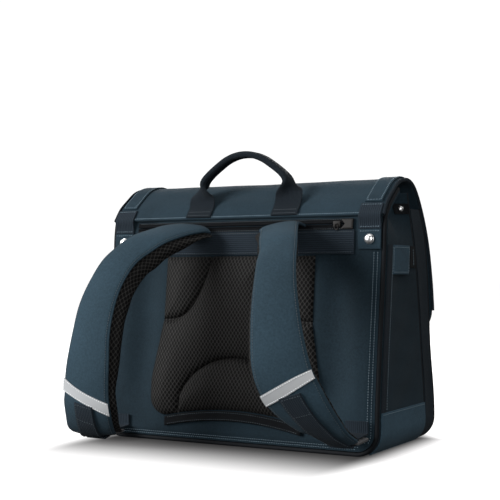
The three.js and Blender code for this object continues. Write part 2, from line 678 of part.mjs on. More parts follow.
// Webbing that follows frames: each has a place, a direction across and a direction up
function addTape(name, material, frames, width, wall, lift = 0) {
  return addSlab(name, material, [-0.5, 0.5], indices(frames), (u, i, w) => {
    const { place, across, up } = frames[i];
    return place.clone().addScaledVector(across, u * width).addScaledVector(up, lift + w * wall).toArray();
  });
}

// Carry handle
const point = (x, y, z) => new THREE.Vector3(x, y, z);
const legLine = offsetLine(flapStretch(GAP, HANDLE_LEG), GAP);
const legRows = legLine.map(([y, z]) => ({ place: point(HANDLE_SPACING / 2, y, z), fold: 0 }));
const legTop = legLine[legLine.length - 1][1];
const archRows = HANDLE_ARCH.map(({ out, back, rise, fold }) => ({
  place: point((out * HANDLE_SPACING) / 2, back * HALF_DEPTH, legTop + rise * HANDLE_RISE),
  fold,
}));
const halfHandle = [...legRows, ...archRows];
const mirrored = halfHandle.slice(0, -1).map(({ place, fold }) => ({
  place: point(-place.x, place.y, place.z),
  fold,
}));
const handleRows = [...mirrored, ...halfHandle.reverse()];
addSlab("carry_handle", finish(WEBBING), [-0.5, 0, 0.5], indices(handleRows), (u, i, w) => {
  const { place, fold } = handleRows[i];
  const before = handleRows[Math.max(i - 1, 0)].place;
  const after = handleRows[Math.min(i + 1, handleRows.length - 1)].place;
  const along = after.clone().sub(before).normalize();
  const handUp = along.clone().cross(point(0, 1, 0));
  const up = point(place.x < 0 ? 1 : -1, 0, 0).cross(along).lerp(handUp, fold);
  up.addScaledVector(along, -up.dot(along)).normalize();
  const across = along.clone().cross(up);
  const width = lerp(HANDLE_WIDTH, HANDLE_FOLD_WIDTH, fold);
  const wall = lerp(HANDLE_WALL, HANDLE_FOLD_WALL, fold);
  const edge = u === 0 ? 1 : 1 - HANDLE_FOLD_ROUNDING * fold;
  return place.clone().addScaledVector(across, u * width).addScaledVector(up, w * wall * edge).toArray();
});

// Shoulder straps
const strapFoot = backY(bandTop) - 4 * GAP - TAPE_WALL;

// Where the lower webbing leaves the back, behind the end of a strap
function strapAnchor(end) {
  const height = end.z + SHELL_WALL;
  return point(end.x, backY(height), height);
}

function strapFrames(rows) {
  const places = rows.map((row) =>
    point(
      STRAP_ANCHOR + row.out * STRAP_SPREAD,
      strapFoot - row.reach * STRAP_REACH,
      row.height * STRAP_TOP,
    ),
  );
  const last = rows.length - 1;
  return rows.map((row, i) => {
    const along = point(0, -1, 0);
    if (i === last) along.copy(strapAnchor(places[i])).sub(places[i]).normalize();
    else if (i) along.copy(places[i + 1]).sub(places[i - 1]).normalize();
    const level = point(1, 0, 0).addScaledVector(along, -along.x).normalize();
    const across = level.clone().applyAxisAngle(along, degToRad(row.roll));
    return { place: places[i], along, across, up: along.clone().cross(across), row };
  });
}

function between(frames, at) {
  const i = Math.min(Math.floor(at), frames.length - 2);
  const [a, b, share] = [frames[i], frames[i + 1], at - i];
  const mix = (key) => a[key].clone().lerp(b[key], share);
  const width = lerp(a.row.width, b.row.width, share);
  const [across, up] = [mix("across").normalize(), mix("up").normalize()];
  return { place: mix("place"), across, up, row: { width } };
}

const crownDrop = (offset, width) => STRAP_CROWN * ((2 * offset) / width) ** 2;
// Columns over a strap: 1 is the webbing's edge, 3 the strap's own and 4 the lining's on the inner
// side. Layers on top of the shell take them the other way round, so that their facets lie alike.
const shellColumns = [-3, -2, -1, 0, 1, 2, 3];
const layerColumns = shellColumns.toReversed();
function strapOffset(column, width) {
  const inner = WEBBING_WIDTH / 2;
  const step = Math.abs(column);
  if (step === 4) return Math.sign(column) * (width / 2 + LINING_OVERHANG / 2);
  return Math.sign(column) * (step < 2 ? step * inner : lerp(inner, width / 2, (step - 1) / 2));
}

onBothSides((side, mirror) => {
  const rows = [...STRAP_UPPER, ...(mirror > 0 ? STRAP_LOWER_RIGHT : STRAP_LOWER_LEFT)];
  const frames = strapFrames(rows);
  const put = (frame, offset, rise) => {
    const place = frame.place.clone().addScaledVector(frame.across, offset).addScaledVector(frame.up, rise);
    place.x *= mirror;
    return place.toArray();
  };
  // A place over the shell's face, at a column and a rise
  const over = (frame, column, rise) => {
    const width = frame.row.width * STRAP_WIDTH;
    const offset = strapOffset(column, width);
    return put(frame, offset, rise - crownDrop(offset, width));
  };
  addSlab("strap_shell" + side, finish(CANVAS), shellColumns, indices(frames), (u, i, w) =>
    over(frames[i], u, w ? 0 : -SHELL_WALL),
  );
  // The lining swells past the shell on the inner side and draws in on the outer one
  addSlab("strap_lining" + side, finish(MESH, 0.95), [...layerColumns, -4], indices(frames), (u, i, w) => {
    const { width, padding } = frames[i].row;
    const thickness = padding * STRAP_PADDING - SHELL_WALL;
    const round = 1 - LINING_ROUNDING * (Math.abs(u) / 4) ** 4;
    const [x, y, z] = over(frames[i], u, -SHELL_WALL - SEAM_GAP - (w ? 0 : thickness * round));
    if (w) return [x, y, z];
    const share = 0.5 + strapOffset(u, width * STRAP_WIDTH) / (width * STRAP_WIDTH);
    const shift = padding * lerp(LINING_OVERHANG / 2, LINING_INSET, clamp(share, 0, 1));
    const { across } = frames[i];
    return [x - mirror * across.x * shift, y - across.y * shift, z - across.z * shift];
  });

  const first = STRAP_UPPER.length;
  const reflectorRun = REFLECTOR_HEIGHT / frames[first].place.distanceTo(frames[first + 1].place);
  const reflectorRow = first + REFLECTOR_START;
  const reflectorFrames = [between(frames, reflectorRow), between(frames, reflectorRow + reflectorRun)];
  addSlab("reflective_band" + side, finish(REFLECTOR, 0.4), layerColumns, [0, 1], (u, i, w) =>
    over(reflectorFrames[i], u, SEAM_GAP + w * REFLECTOR_WALL),
  );

  // The buckle's own plane: e runs from the strap to the back, n points away from the padding
  const end = frames[frames.length - 1];
  const anchor = strapAnchor(end.place);
  const [e, across, n] = [end.along, end.across, end.up];
  const origin = end.place.clone().addScaledVector(e, BUCKLE_STANDOFF).addScaledVector(n, -BUCKLE_WALL / 2);
  const clear = BUCKLE_WALL / 2 + GAP;
  const toBack = anchor.clone().sub(origin).dot(e);

  function bandFrames(line) {
    const over = offsetLine(line, 1);
    return line.map(([a, b], i) => {
      const place = origin.clone().addScaledVector(e, a).addScaledVector(n, b);
      const up = point(0, 0, 0).addScaledVector(e, over[i][0] - a).addScaledVector(n, over[i][1] - b);
      return { place, across, up };
    });
  }
  const flip = (frame) => {
    const turned = { place: frame.place.clone(), across: frame.across.clone(), up: frame.up.clone() };
    Object.values(turned).forEach((v) => v.setX(v.x * mirror));
    return turned;
  };

  const middleBar = [-BUCKLE_BAR / 2, BUCKLE_BAR / 2];
  const upperBar = middleBar[0] - UPPER_SLOT;
  const lowerBar = middleBar[1] + LOWER_SLOT;
  const outer = new THREE.Shape();
  const halfSlot = WEBBING_WIDTH / 2 + SLOT_CLEARANCE;
  const halfBuckle = halfSlot + BUCKLE_BAR;
  const rectangle = (shape, x0, y0, x1, y1, r) => {
    shape.moveTo(x0 + r, y0).lineTo(x1 - r, y0).absarc(x1 - r, y0 + r, r, -Math.PI / 2, 0);
    shape.lineTo(x1, y1 - r).absarc(x1 - r, y1 - r, r, 0, Math.PI / 2);
    shape.lineTo(x0 + r, y1).absarc(x0 + r, y1 - r, r, Math.PI / 2, Math.PI);
    shape.lineTo(x0, y0 + r).absarc(x0 + r, y0 + r, r, Math.PI, 1.5 * Math.PI);
    return shape;
  };
  rectangle(outer, -halfBuckle, upperBar - BUCKLE_BAR, halfBuckle, lowerBar + BUCKLE_BAR, BUCKLE_BAR);
  const corner = BUCKLE_BAR / 4;
  outer.holes.push(rectangle(new THREE.Path(), -halfSlot, upperBar, halfSlot, middleBar[0], corner));
  outer.holes.push(rectangle(new THREE.Path(), -halfSlot, middleBar[1], halfSlot, lowerBar, corner));
  const plateShape = { depth: BUCKLE_WALL, bevelEnabled: false, curveSegments: 3 };
  const plate = new THREE.ExtrudeGeometry(outer, plateShape);
  plate.translate(0, 0, -BUCKLE_WALL / 2);
  plate.applyMatrix4(new THREE.Matrix4().makeBasis(across, e, n.clone().negate()).setPosition(origin));
  if (mirror < 0) plate.applyMatrix4(new THREE.Matrix4().makeScale(-1, 1, 1));
  addPiece("strap_buckle" + side, plate, finish(PLASTIC, 0.45));

  // Webbing of the strap: down the shell, round the upper bar and back under it
  const webbingRow = reflectorRow + reflectorRun * WEBBING_START;
  const lyingRows = [webbingRow, ...indices(frames).filter((i) => i > webbingRow)];
  const lying = lyingRows.map((at) => between(frames, at));
  const upperTurn = upperBar + GAP;
  const loopLine = [
    [upperBar - BUCKLE_BAR, clear + GAP],
    [upperTurn, clear],
    [upperTurn, -clear],
    [upperBar - BUCKLE_BAR - GAP, -clear],
  ];
  const webbing = [...lying, ...bandFrames(loopLine)];
  addSlab("strap_webbing" + side, finish(WEBBING), [1, 0, -1], indices(webbing), (u, i, w) => {
    const frame = webbing[i];
    if (frame.row) return over(frame, u, SEAM_GAP + w * TAPE_WALL);
    return put(frame, (u * WEBBING_WIDTH) / 2, w * TAPE_WALL);
  });

  // Lower webbing: sewn up the back, under the buckle, round the middle bar and out as a tail
  const backFace = toBack - GAP;
  const lowerTurn = middleBar[0] - GAP;
  const lowerLine = [
    [backFace, -clear - LOWER_ANCHOR_HEIGHT],
    [backFace, -clear],
    [lowerTurn, -clear],
    [lowerTurn, clear],
    [lowerBar + BUCKLE_BAR, clear],
    [lowerBar + BUCKLE_BAR + TAIL_LENGTH, clear + BUCKLE_BAR / 2],
  ];
  addTape("lower_webbing" + side, finish(WEBBING), bandFrames(lowerLine).map(flip), WEBBING_WIDTH, TAPE_WALL);
});

// Clasp that holds the flap's front edge to the front
const claspHeight = flapLine[flapLine.length - 1][1];
addSlab(
  "flap_clasp",
  finish(STEEL, 0.3, 1),
  [-CLASP_WIDTH / 2, CLASP_WIDTH / 2],
  [claspHeight - CLASP_HEIGHT, claspHeight - FLAP_WALL],
  (x, z, w) => [x, frontY(z) + GAP + w * CLASP_WALL, z],
);

export default satchel;
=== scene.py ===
"""A cloth school satchel: its cloth, webbing, stitching and fittings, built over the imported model."""

import math

import bpy
import numpy as np
from mathutils import Matrix, Vector


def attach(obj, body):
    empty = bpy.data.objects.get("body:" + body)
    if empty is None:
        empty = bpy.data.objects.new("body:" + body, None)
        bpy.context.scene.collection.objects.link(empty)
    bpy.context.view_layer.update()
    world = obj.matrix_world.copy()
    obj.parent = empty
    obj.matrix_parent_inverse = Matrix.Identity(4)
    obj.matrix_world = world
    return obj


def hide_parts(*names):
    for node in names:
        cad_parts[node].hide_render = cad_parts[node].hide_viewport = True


bl_info = {
    "name": "School satchel",
    "version": (1, 0, 0),
    "blender": (4, 5, 0),
    "location": "View3D > Sidebar > Satchel",
    "description": "Builds a cloth school satchel with padded straps",
    "category": "Add Mesh",
}

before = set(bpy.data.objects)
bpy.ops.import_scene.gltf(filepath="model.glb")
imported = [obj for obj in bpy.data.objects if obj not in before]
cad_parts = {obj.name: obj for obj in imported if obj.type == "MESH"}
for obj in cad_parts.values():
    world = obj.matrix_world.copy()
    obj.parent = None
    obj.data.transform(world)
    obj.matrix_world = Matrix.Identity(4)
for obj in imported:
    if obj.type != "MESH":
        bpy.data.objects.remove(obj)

MM = 0.001
SIMULATED_FRAMES = 20
LINE_PLACES = 400

# Sizes in millimetres. Those that the model has too are the same there
BODY_WIDTH, BODY_DEPTH, BODY_HEIGHT = 380, 188, 320
HALF, HALF_DEPTH = BODY_WIDTH / 2, BODY_DEPTH / 2
CORNER_RADIUS = 28
FLAP_WIDTH, FLAP_CORNER, FLAP_WALL = 372, 34, 4
PIPING_RADIUS, SEAM_GAP, GAP, TAPE_WALL = 2.5, 0.6, 0.35, 1.6
SEAM_ROOM = 2 * PIPING_RADIUS + SEAM_GAP
GUSSET_TOP, FRONT_TOP = 302, 284
ZIP_TOP, ZIP_TAPE, ZIP_GAP, ZIP_LENGTH, GARAGE = 270.8, 6, 0.9, 300, 15
ZIP_FOOT = ZIP_TOP - 2 * ZIP_TAPE - ZIP_GAP
BAND_HEIGHT, BAND_LENGTH = 28, 304
BAND_TOP = ZIP_FOOT - GAP
STRIP_OFFSET, STRIP_WIDTH, STRIP_START, STRIP_LENGTH = 171, 22, 18, 290
TAB_WIDTH, TAB_RISE, PATCH_HEIGHT = 28, 15, 23
HANDLE_SPACING, HANDLE_WIDTH, HANDLE_RISE = 120, 35, 66
HANDLE_FLAT, HANDLE_BEND = 4.6, 4 * math.pi  # half of the hand part's flat top, and the roll beside it
HANDLE_DROP = 9.2  # how deep the hand part is rolled
STRAP_ANCHOR, STRAP_SPREAD, STRAP_REACH, STRAP_TOP = 54, 112, 138, 266
STRAP_WIDTH, STRAP_PADDING, SHELL_WALL, STRAP_CROWN = 72, 20, 3, 4
LINING_OVERHANG, LINING_INSET = 9, 6
WEBBING_WIDTH = 28

# Side section from the base up: height as a share of the height, then back, seam and front as
# shares of half the depth
SIDE_SECTION = [
    (0, -0.975, 0.62, 0.95),
    (0.115, -0.964, 0.61, 0.965),
    (0.378, -0.883, 0.475, 0.81),
    (0.556, -0.815, 0.378, 0.745),
    (0.737, -0.752, 0.245, 0.65),
    (0.815, -0.732, 0.15, 0.57),
    (0.889, -0.6, 0.06, 0.42),
    (0.96, -0.34, -0.01, 0.25),
]
# The flap's outer line from its back edge over the top: depth and height in the same shares
FLAP_SECTION = [
    (-0.745, 0.859),
    (-0.63, 0.903),
    (-0.45, 0.947),
    (-0.29, 0.98),
    (-0.13, 0.997),
    (0.1, 1),
    (0.265, 0.981),
    (0.4, 0.946),
    (0.53, 0.897),
    (0.725, 0.8),
    (0.86, 0.684),
    (0.955, 0.553),
    (0.98, 0.497),
    (0.965, 0.447),
    (0.905, 0.4),
]
# Straps from the top down: out, reach, height, width and padding as shares, roll in degrees
STRAP_UPPER = [
    (0, 0, 1, 0.66, 0.4, 10),
    (0.052, 0.087, 1.004, 0.66, 0.5, 10),
    (0.129, 0.203, 0.998, 0.65, 0.65, 10),
    (0.216, 0.348, 0.977, 0.65, 0.8, 9),
    (0.302, 0.493, 0.947, 0.65, 0.9, 9),
    (0.379, 0.616, 0.906, 0.65, 1, 8),
    (0.448, 0.754, 0.85, 0.67, 1, 3),
    (0.517, 0.884, 0.752, 0.7, 1, -2),
    (0.574, 0.967, 0.639, 0.77, 1, -5),
    (0.619, 1, 0.519, 0.84, 0.98, -8),
    (0.655, 0.997, 0.414, 0.92, 0.8, -8),
]
STRAP_LOWER = {
    1: [
        (0.672, 0.978, 0.368, 0.95, 0.6, -7),
        (0.737, 0.899, 0.274, 1, 0.42, -5),
        (0.819, 0.775, 0.188, 0.95, 0.38, -2),
        (0.905, 0.63, 0.12, 0.82, 0.36, 0),
        (0.99, 0.485, 0.073, 0.62, 0.36, 0),
    ],
    -1: [
        (0.72, 0.957, 0.274, 0.97, 0.5, -7),
        (0.75, 0.913, 0.18, 1, 0.42, -6),
        (0.802, 0.812, 0.1, 0.95, 0.38, -4),
        (0.879, 0.674, 0.047, 0.85, 0.36, 0),
        (0.966, 0.529, 0.03, 0.62, 0.36, 0),
    ],
}
# Half of the carry handle above the flap: out, back and rise as shares, and how far it is folded
HANDLE_ARCH = [
    (1.01, -0.61, 0.185, 0.05),
    (0.99, -0.605, 0.306, 0.35),
    (0.935, -0.6, 0.427, 0.8),
    (0.767, -0.6, 0.571, 1),
    (0.6, -0.6, 0.685, 1),
    (0.35, -0.6, 0.825, 1),
    (0.14, -0.6, 0.885, 1),
    (0, -0.6, 0.895, 1),
]

SIDES = (("_right", 1), ("_left", -1))


# Lines


def smooth(points, count, along=None):
    """A smooth line through the points as count places, evenly spread over the first columns."""
    p = np.asarray(points, float)
    run = p[:, : along or p.shape[1]]
    t = np.r_[0, np.cumsum(np.linalg.norm(np.diff(run, axis=0), axis=1))]
    slope = np.gradient(p, t, axis=0)
    s = np.linspace(0, t[-1], count)
    i = np.clip(np.searchsorted(t, s, "right") - 1, 0, len(t) - 2)
    h = (t[i + 1] - t[i])[:, None]
    f = ((s - t[i]) / (t[i + 1] - t[i]))[:, None]
    return (
        (2 * f**3 - 3 * f**2 + 1) * p[i]
        + (f**3 - 2 * f**2 + f) * h * slope[i]
        + (3 * f**2 - 2 * f**3) * p[i + 1]
        + (f**3 - f**2) * h * slope[i + 1]
    )


def aside(line, distance):
    """A line in the YZ plane moved to the left of its direction."""
    way = np.gradient(line, axis=0)
    way /= np.linalg.norm(way, axis=1, keepdims=True)
    return line + distance * np.stack([-way[:, 1], way[:, 0]], 1)


def run_of(line):
    """The distance walked at each place of a line."""
    return np.r_[0, np.cumsum(np.linalg.norm(np.diff(line, axis=0), axis=1))]


def at_run(line, run):
    """Places at distances from the start of a line."""
    walked = run_of(line)
    return np.stack([np.interp(run, walked, line[:, k]) for k in range(line.shape[1])], -1)


def y_at(line, z):
    return np.interp(z, line[:, 1], line[:, 0])


def true_size(rows):
    """Rows of depth and height as shares, in millimetres."""
    return np.array([(y * HALF_DEPTH, z * BODY_HEIGHT) for y, z in rows])


def section(column):
    """One column of the side section, in millimetres."""
    return true_size([(row[column], row[0]) for row in SIDE_SECTION])


FLAP_LINE = smooth(true_size(FLAP_SECTION), LINE_PLACES)
FLAP_RUN = run_of(FLAP_LINE)[-1]
UNDER_FLAP = aside(true_size(FLAP_SECTION[:5]), -FLAP_WALL - GAP)[:4]
BACK_ROWS = section(1)
BELOW_FLAP = BACK_ROWS[BACK_ROWS[:, 1] < UNDER_FLAP[0][1] - 6]
BACK_LINE = smooth(np.concatenate([BELOW_FLAP, UNDER_FLAP]), LINE_PLACES)
SEAM_LINE = smooth(section(2), LINE_PLACES)
FRONT_LINE = smooth(section(3), LINE_PLACES)
BACK_TOP = UNDER_FLAP[3][1]
GUSSET_FROM = aside(BACK_LINE, -SEAM_ROOM)
GUSSET_TO = aside(SEAM_LINE, SEAM_ROOM)


def step_up(value, low, high):
    t = np.clip((value - low) / (high - low), 0, 1)
    return t * t * (3 - 2 * t)


def half_at(z, inset=0.0):
    """Half the body's width at a height, with its round bottom corners, drawn in by inset."""
    radius = CORNER_RADIUS - inset
    below = np.clip(CORNER_RADIUS - z, 0, radius)
    return HALF - CORNER_RADIUS + np.sqrt(np.maximum(radius * radius - below * below, 0))


def ripple(a, b, seed=0.0):
    """A soft uneven surface of -1 to 1, from a few crossing waves."""
    return (
        np.sin(a * 0.041 + 1.3 + seed) * np.cos(b * 0.033 + 0.4 * seed)
        + 0.6 * np.sin(a * 0.083 - b * 0.061 + 2.1 * seed)
        + 0.35 * np.sin(b * 0.13 + a * 0.029 + seed)
    ) / 1.95


# Making pieces


def deselect():
    if bpy.context.object and bpy.context.object.mode != "OBJECT":
        bpy.ops.object.mode_set(mode="OBJECT")
    bpy.ops.object.select_all(action="DESELECT")


def pick(piece):
    """Makes a piece the only one selected, and active."""
    deselect()
    piece.hide_set(False)
    piece.select_set(True)
    bpy.context.view_layer.objects.active = piece
    return piece


def named(name):
    """Names the object that was just added."""
    piece = bpy.context.object
    piece.name = piece.data.name = name
    return piece


def modify(piece, kind, **values):
    """Adds a modifier and applies it."""
    pick(piece)
    made = piece.modifiers.new(kind, kind)
    for key, value in values.items():
        setattr(made, key, value)
    bpy.ops.object.modifier_apply(modifier=made.name)


def lay_grid(name, columns, rows, place):
    """A grid laid by place(u, v), both from 0 to 1, in millimetres, with a true-length UV map."""
    deselect()
    bpy.ops.mesh.primitive_grid_add(x_subdivisions=columns, y_subdivisions=rows, size=1)
    piece = named(name)
    mesh = piece.data
    co = np.empty(len(mesh.vertices) * 3)
    mesh.vertices.foreach_get("co", co)
    u, v = co[0::3] + 0.5, co[1::3] + 0.5
    laid = np.stack([np.broadcast_to(c, u.shape) for c in place(u, v)], 1).astype(float) * MM
    mesh.vertices.foreach_set("co", laid.ravel())
    i, j = np.rint(u * columns).astype(int), np.rint(v * rows).astype(int)
    net = np.zeros((rows + 1, columns + 1, 3))
    net[j, i] = laid
    across = np.cumsum(np.linalg.norm(np.diff(net, axis=1), axis=2), axis=1)
    across = np.concatenate([np.zeros((rows + 1, 1)), across], 1)
    across -= across[:, columns // 2][:, None]
    down = np.cumsum(np.linalg.norm(np.diff(net[:, columns // 2], axis=0), axis=1))
    down = np.r_[0, down]
    corner = np.empty(len(mesh.loops), int)
    mesh.loops.foreach_get("vertex_index", corner)
    flat = np.stack([across[j, i], down[j]], 1)[corner]
    mesh.uv_layers[0].data.foreach_set("uv", flat.ravel())
    mesh.update()
    return piece


def turn_out(piece):
    """Turns all faces of a closed piece outwards."""
    pick(piece)
    bpy.ops.object.mode_set(mode="EDIT")
    bpy.ops.mesh.select_all(action="SELECT")
    bpy.ops.mesh.normals_make_consistent(inside=False)
    bpy.ops.object.mode_set(mode="OBJECT")


FINISHES = {}
# The material slots of the record, each with the finishes that stand for it
SLOTS = {
    "canvas": ("canvas", "canvas_painted_shade", "canvas_flap_painted_shade", "canvas_strap_painted_light", "canvas_patch_painted_light"),
    "canvas_dark": ("canvas_dark",),
    "webbing": ("webbing", "binding", "band", "handle", "thread", "dark_thread"),
    "black_trim": ("black_webbing", "zip", "rubber", "trim"),
    "mesh": ("mesh", "lining"),
    "reflector": ("reflector", "pale_thread"),
    "plastic": ("plastic",),
    "steel": ("steel",),
}
SLOT_OF = {key: slot for slot, keys in SLOTS.items() for key in keys}


def finish(piece, key, *nodes, angle=40, slot=None):
    """Gives a finished piece its material and its place in the model.

    Its slot, the one that the material stands for or the one given, is worked out but not stored. The
    finishes are made first.
    """
    slot = slot or SLOT_OF[key]
    piece.data.materials.clear()
    piece.data.materials.append(FINISHES[key])
    pick(piece)
    bpy.ops.object.shade_smooth_by_angle(angle=math.radians(angle))
    if nodes:
        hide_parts(*nodes)
    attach(piece, "root")
    return piece


def soften(piece, width, segments, angle):
    """Bevels the edges sharper than an angle in degrees."""
    limit = math.radians(angle)
    modify(piece, "BEVEL", width=width * MM, segments=segments, limit_method="ANGLE", angle_limit=limit)


def cloth(name, columns, rows, place, wall, key, *nodes, edge=0.0):
    """A sheet of cloth with a wall under its face, and a soft edge."""
    piece = lay_grid(name, columns, rows, place)
    modify(piece, "SOLIDIFY", thickness=wall * MM, offset=-1, use_even_offset=False)
    if edge:
        soften(piece, edge, 2, 50)
    return finish(piece, key, *nodes)


def joined(name, pieces):
    """Several pieces as one."""
    deselect()
    for piece in pieces:
        piece.select_set(True)
    bpy.context.view_layer.objects.active = pieces[0]
    bpy.ops.object.join()
    return named(name)


def piping(name, points, radius):
    """Round piping along a line of places in millimetres, as a mesh."""
    deselect()
    bpy.ops.curve.primitive_nurbs_path_add()
    line = named(name)
    curve = line.data
    curve.splines.clear()
    spline = curve.splines.new("POLY")
    spline.points.add(len(points) - 1)
    spline.points.foreach_set("co", np.c_[np.asarray(points) * MM, np.ones(len(points))].ravel())
    curve.dimensions = "3D"
    curve.bevel_depth = radius * MM
    curve.bevel_resolution = 4
    curve.use_fill_caps = True
    pick(line)
    bpy.ops.object.convert(target="MESH")
    return named(name)


def places_of(piece):
    """A piece's places in metres, as rows."""
    found = np.empty(len(piece.data.vertices) * 3)
    piece.data.vertices.foreach_get("co", found)
    return found.reshape(-1, 3)


def swell(piece, still, pressure=4.0, most=1.5):
    """Simulates a padded piece as cloth under pressure, with its still places pinned.

    No place moves further than most, in millimetres.
    """
    before = places_of(piece)
    group = piece.vertex_groups.new(name="still")
    group.add([int(i) for i in np.flatnonzero(still)], 1.0, "REPLACE")
    pick(piece)
    soft = piece.modifiers.new("Cloth", "CLOTH")
    soft.settings.quality = 5
    soft.settings.use_pressure = True
    soft.settings.uniform_pressure_force = pressure
    soft.settings.effector_weights.gravity = 0
    soft.settings.vertex_group_mass = group.name
    soft.point_cache.frame_start, soft.point_cache.frame_end = 1, SIMULATED_FRAMES
    for number in range(1, SIMULATED_FRAMES + 1):
        bpy.context.scene.frame_set(number)
    bpy.ops.object.modifier_apply(modifier=soft.name)
    bpy.context.scene.frame_set(1)
    moved = places_of(piece) - before
    length = np.linalg.norm(moved, axis=1, keepdims=True)
    moved *= np.minimum(1, most * MM / np.maximum(length, 1e-9))
    piece.data.vertices.foreach_set("co", (before + moved).ravel())
    piece.data.update()
    piece.vertex_groups.clear()


# Materials


class Nodes:
    """Adds nodes to a node tree and links them."""

    def __init__(self, tree):
        self.tree = tree

    def add(self, kind, values=(), **settings):
        made = self.tree.nodes.new(kind)
        for key, value in settings.items():
            setattr(made, key, value)
        for key, value in dict(values).items():
            self.feed(made.inputs[key], value)
        return made

    def feed(self, socket, value):
        """Links another socket to this one, or sets its value."""
        if isinstance(value, bpy.types.NodeSocket):
            self.tree.links.new(value, socket)
        else:
            socket.default_value = value

    def math(self, kind, a, b=0.0):
        return self.add("ShaderNodeMath", {0: a, 1: b}, operation=kind).outputs[0]

    def split(self, vector):
        made = self.add("ShaderNodeSeparateXYZ", {0: vector})
        return made.outputs[0], made.outputs[1]

    def blend(self, share, first, second):
        """A colour between two, by a share."""
        made = self.add("ShaderNodeMix", {0: share, 6: first, 7: second}, data_type="RGBA")
        return made.outputs[2]

    def group(self, tree, values):
        return self.add("ShaderNodeGroup", values, node_tree=tree).outputs


def new_group(name, inputs, outputs):
    """An empty shader node group with named inputs and outputs, and its nodes."""
    tree = bpy.data.node_groups.new(name, "ShaderNodeTree")
    for label, kind, default in inputs:
        socket = tree.interface.new_socket(label, in_out="INPUT", socket_type="NodeSocket" + kind)
        if default is not None:
            socket.default_value = default
    for label, kind in outputs:
        tree.interface.new_socket(label, in_out="OUTPUT", socket_type="NodeSocket" + kind)
    nodes = Nodes(tree)
    return tree, nodes, nodes.add("NodeGroupInput").outputs, nodes.add("NodeGroupOutput").inputs


def weave_group():
    """Plain weave: threads cross over and under. Height and a mask of the gaps."""
    tree, n, given, out = new_group(
        "Weave",
        [("Vector", "Vector", None), ("Threads", "Float", 1400.0)],
        [("Height", "Float"), ("Gaps", "Float")],
    )
    u, v = n.split(given["Vector"])
    a = n.math("MULTIPLY", u, n.math("MULTIPLY", given["Threads"], math.pi))
    b = n.math("MULTIPLY", v, n.math("MULTIPLY", given["Threads"], math.pi))
    over = n.math("MULTIPLY", n.math("SINE", a), n.math("SINE", b))
    round_a = n.math("ABSOLUTE", n.math("COSINE", a))
    round_b = n.math("ABSOLUTE", n.math("COSINE", b))
    thread = n.math("MAXIMUM", round_a, round_b)
    height = n.math("ADD", n.math("MULTIPLY", over, 0.35), thread)
    n.tree.links.new(height, out["Height"])
    n.tree.links.new(n.math("SUBTRACT", 1.0, thread), out["Gaps"])
    return tree


def mottle_group():
    """Uneven dye and dust: a broad cloudiness and a fine grain, as one mask around one half."""
    tree, n, given, out = new_group(
        "Mottle",
        [("Vector", "Vector", None), ("Broad", "Float", 9.0), ("Fine", "Float", 700.0)],
        [("Mask", "Float")],
    )
    spot = given["Vector"]
    broad = n.add("ShaderNodeTexNoise", {"Vector": spot, "Scale": given["Broad"], "Detail": 4.0})
    fine = n.add("ShaderNodeTexNoise", {"Vector": spot, "Scale": given["Fine"], "Detail": 2.0})
    cloudy, grainy = n.math("MULTIPLY", broad.outputs[0], 0.55), n.math("MULTIPLY", fine.outputs[0], 0.45)
    n.tree.links.new(n.math("ADD", cloudy, grainy), out["Mask"])
    return tree


def rib_group():
    """Ribs that run along webbing, with the small cross threads between them."""
    tree, n, given, out = new_group(
        "Ribs",
        [("Vector", "Vector", None), ("Ribs", "Float", 420.0)],
        [("Height", "Float"), ("Gaps", "Float")],
    )
    u, v = n.split(given["Vector"])
    across = n.math("MULTIPLY", u, n.math("MULTIPLY", given["Ribs"], math.pi))
    along = n.math("MULTIPLY", v, n.math("MULTIPLY", given["Ribs"], 3.0 * math.pi))
    rib = n.math("ABSOLUTE", n.math("COSINE", across))
    step = n.math("ABSOLUTE", n.math("SINE", n.math("ADD", along, across)))
    height = n.math("ADD", rib, n.math("MULTIPLY", step, 0.3))
    n.tree.links.new(height, out["Height"])
    n.tree.links.new(n.math("POWER", n.math("SUBTRACT", 1.0, rib), 2.0), out["Gaps"])
    return tree


def diamond_group():
    """Spacer mesh: diamond holes in a net. Height, and a mask that is 1 in the holes."""
    tree, n, given, out = new_group(
        "Diamonds",
        [
            ("Vector", "Vector", None),
            ("Wide", "Float", 215.0),
            ("Tall", "Float", 150.0),
            ("Open", "Float", 0.36),
        ],
        [("Height", "Float"), ("Holes", "Float")],
    )
    u, v = n.split(given["Vector"])
    warp = n.add("ShaderNodeTexNoise", {"Vector": given["Vector"], "Scale": 45.0, "Detail": 1.0}).outputs[0]
    shift = n.math("MULTIPLY", n.math("SUBTRACT", warp, 0.5), 0.5)
    a = n.math("ADD", n.math("MULTIPLY", u, given["Wide"]), shift)
    b = n.math("MULTIPLY", v, given["Tall"])
    rise = n.math("COSINE", n.math("MULTIPLY", n.math("ADD", a, b), math.pi))
    fall = n.math("COSINE", n.math("MULTIPLY", n.math("SUBTRACT", a, b), math.pi))
    net = n.math("ABSOLUTE", n.math("MULTIPLY", rise, fall))
    low, high = n.math("SUBTRACT", given["Open"], 0.12), n.math("ADD", given["Open"], 0.12)
    edges = {"Value": net, "From Min": low, "From Max": high}
    hole = n.add("ShaderNodeMapRange", edges, interpolation_type="SMOOTHSTEP").outputs[0]
    n.tree.links.new(n.math("SUBTRACT", 1.0, hole), out["Height"])
    n.tree.links.new(hole, out["Holes"])
    return tree


def shade(color, factor):
    """A colour made lighter or darker, as the nodes take it."""
    return tuple(min(1.0, c * factor) for c in color[:3]) + (1.0,)


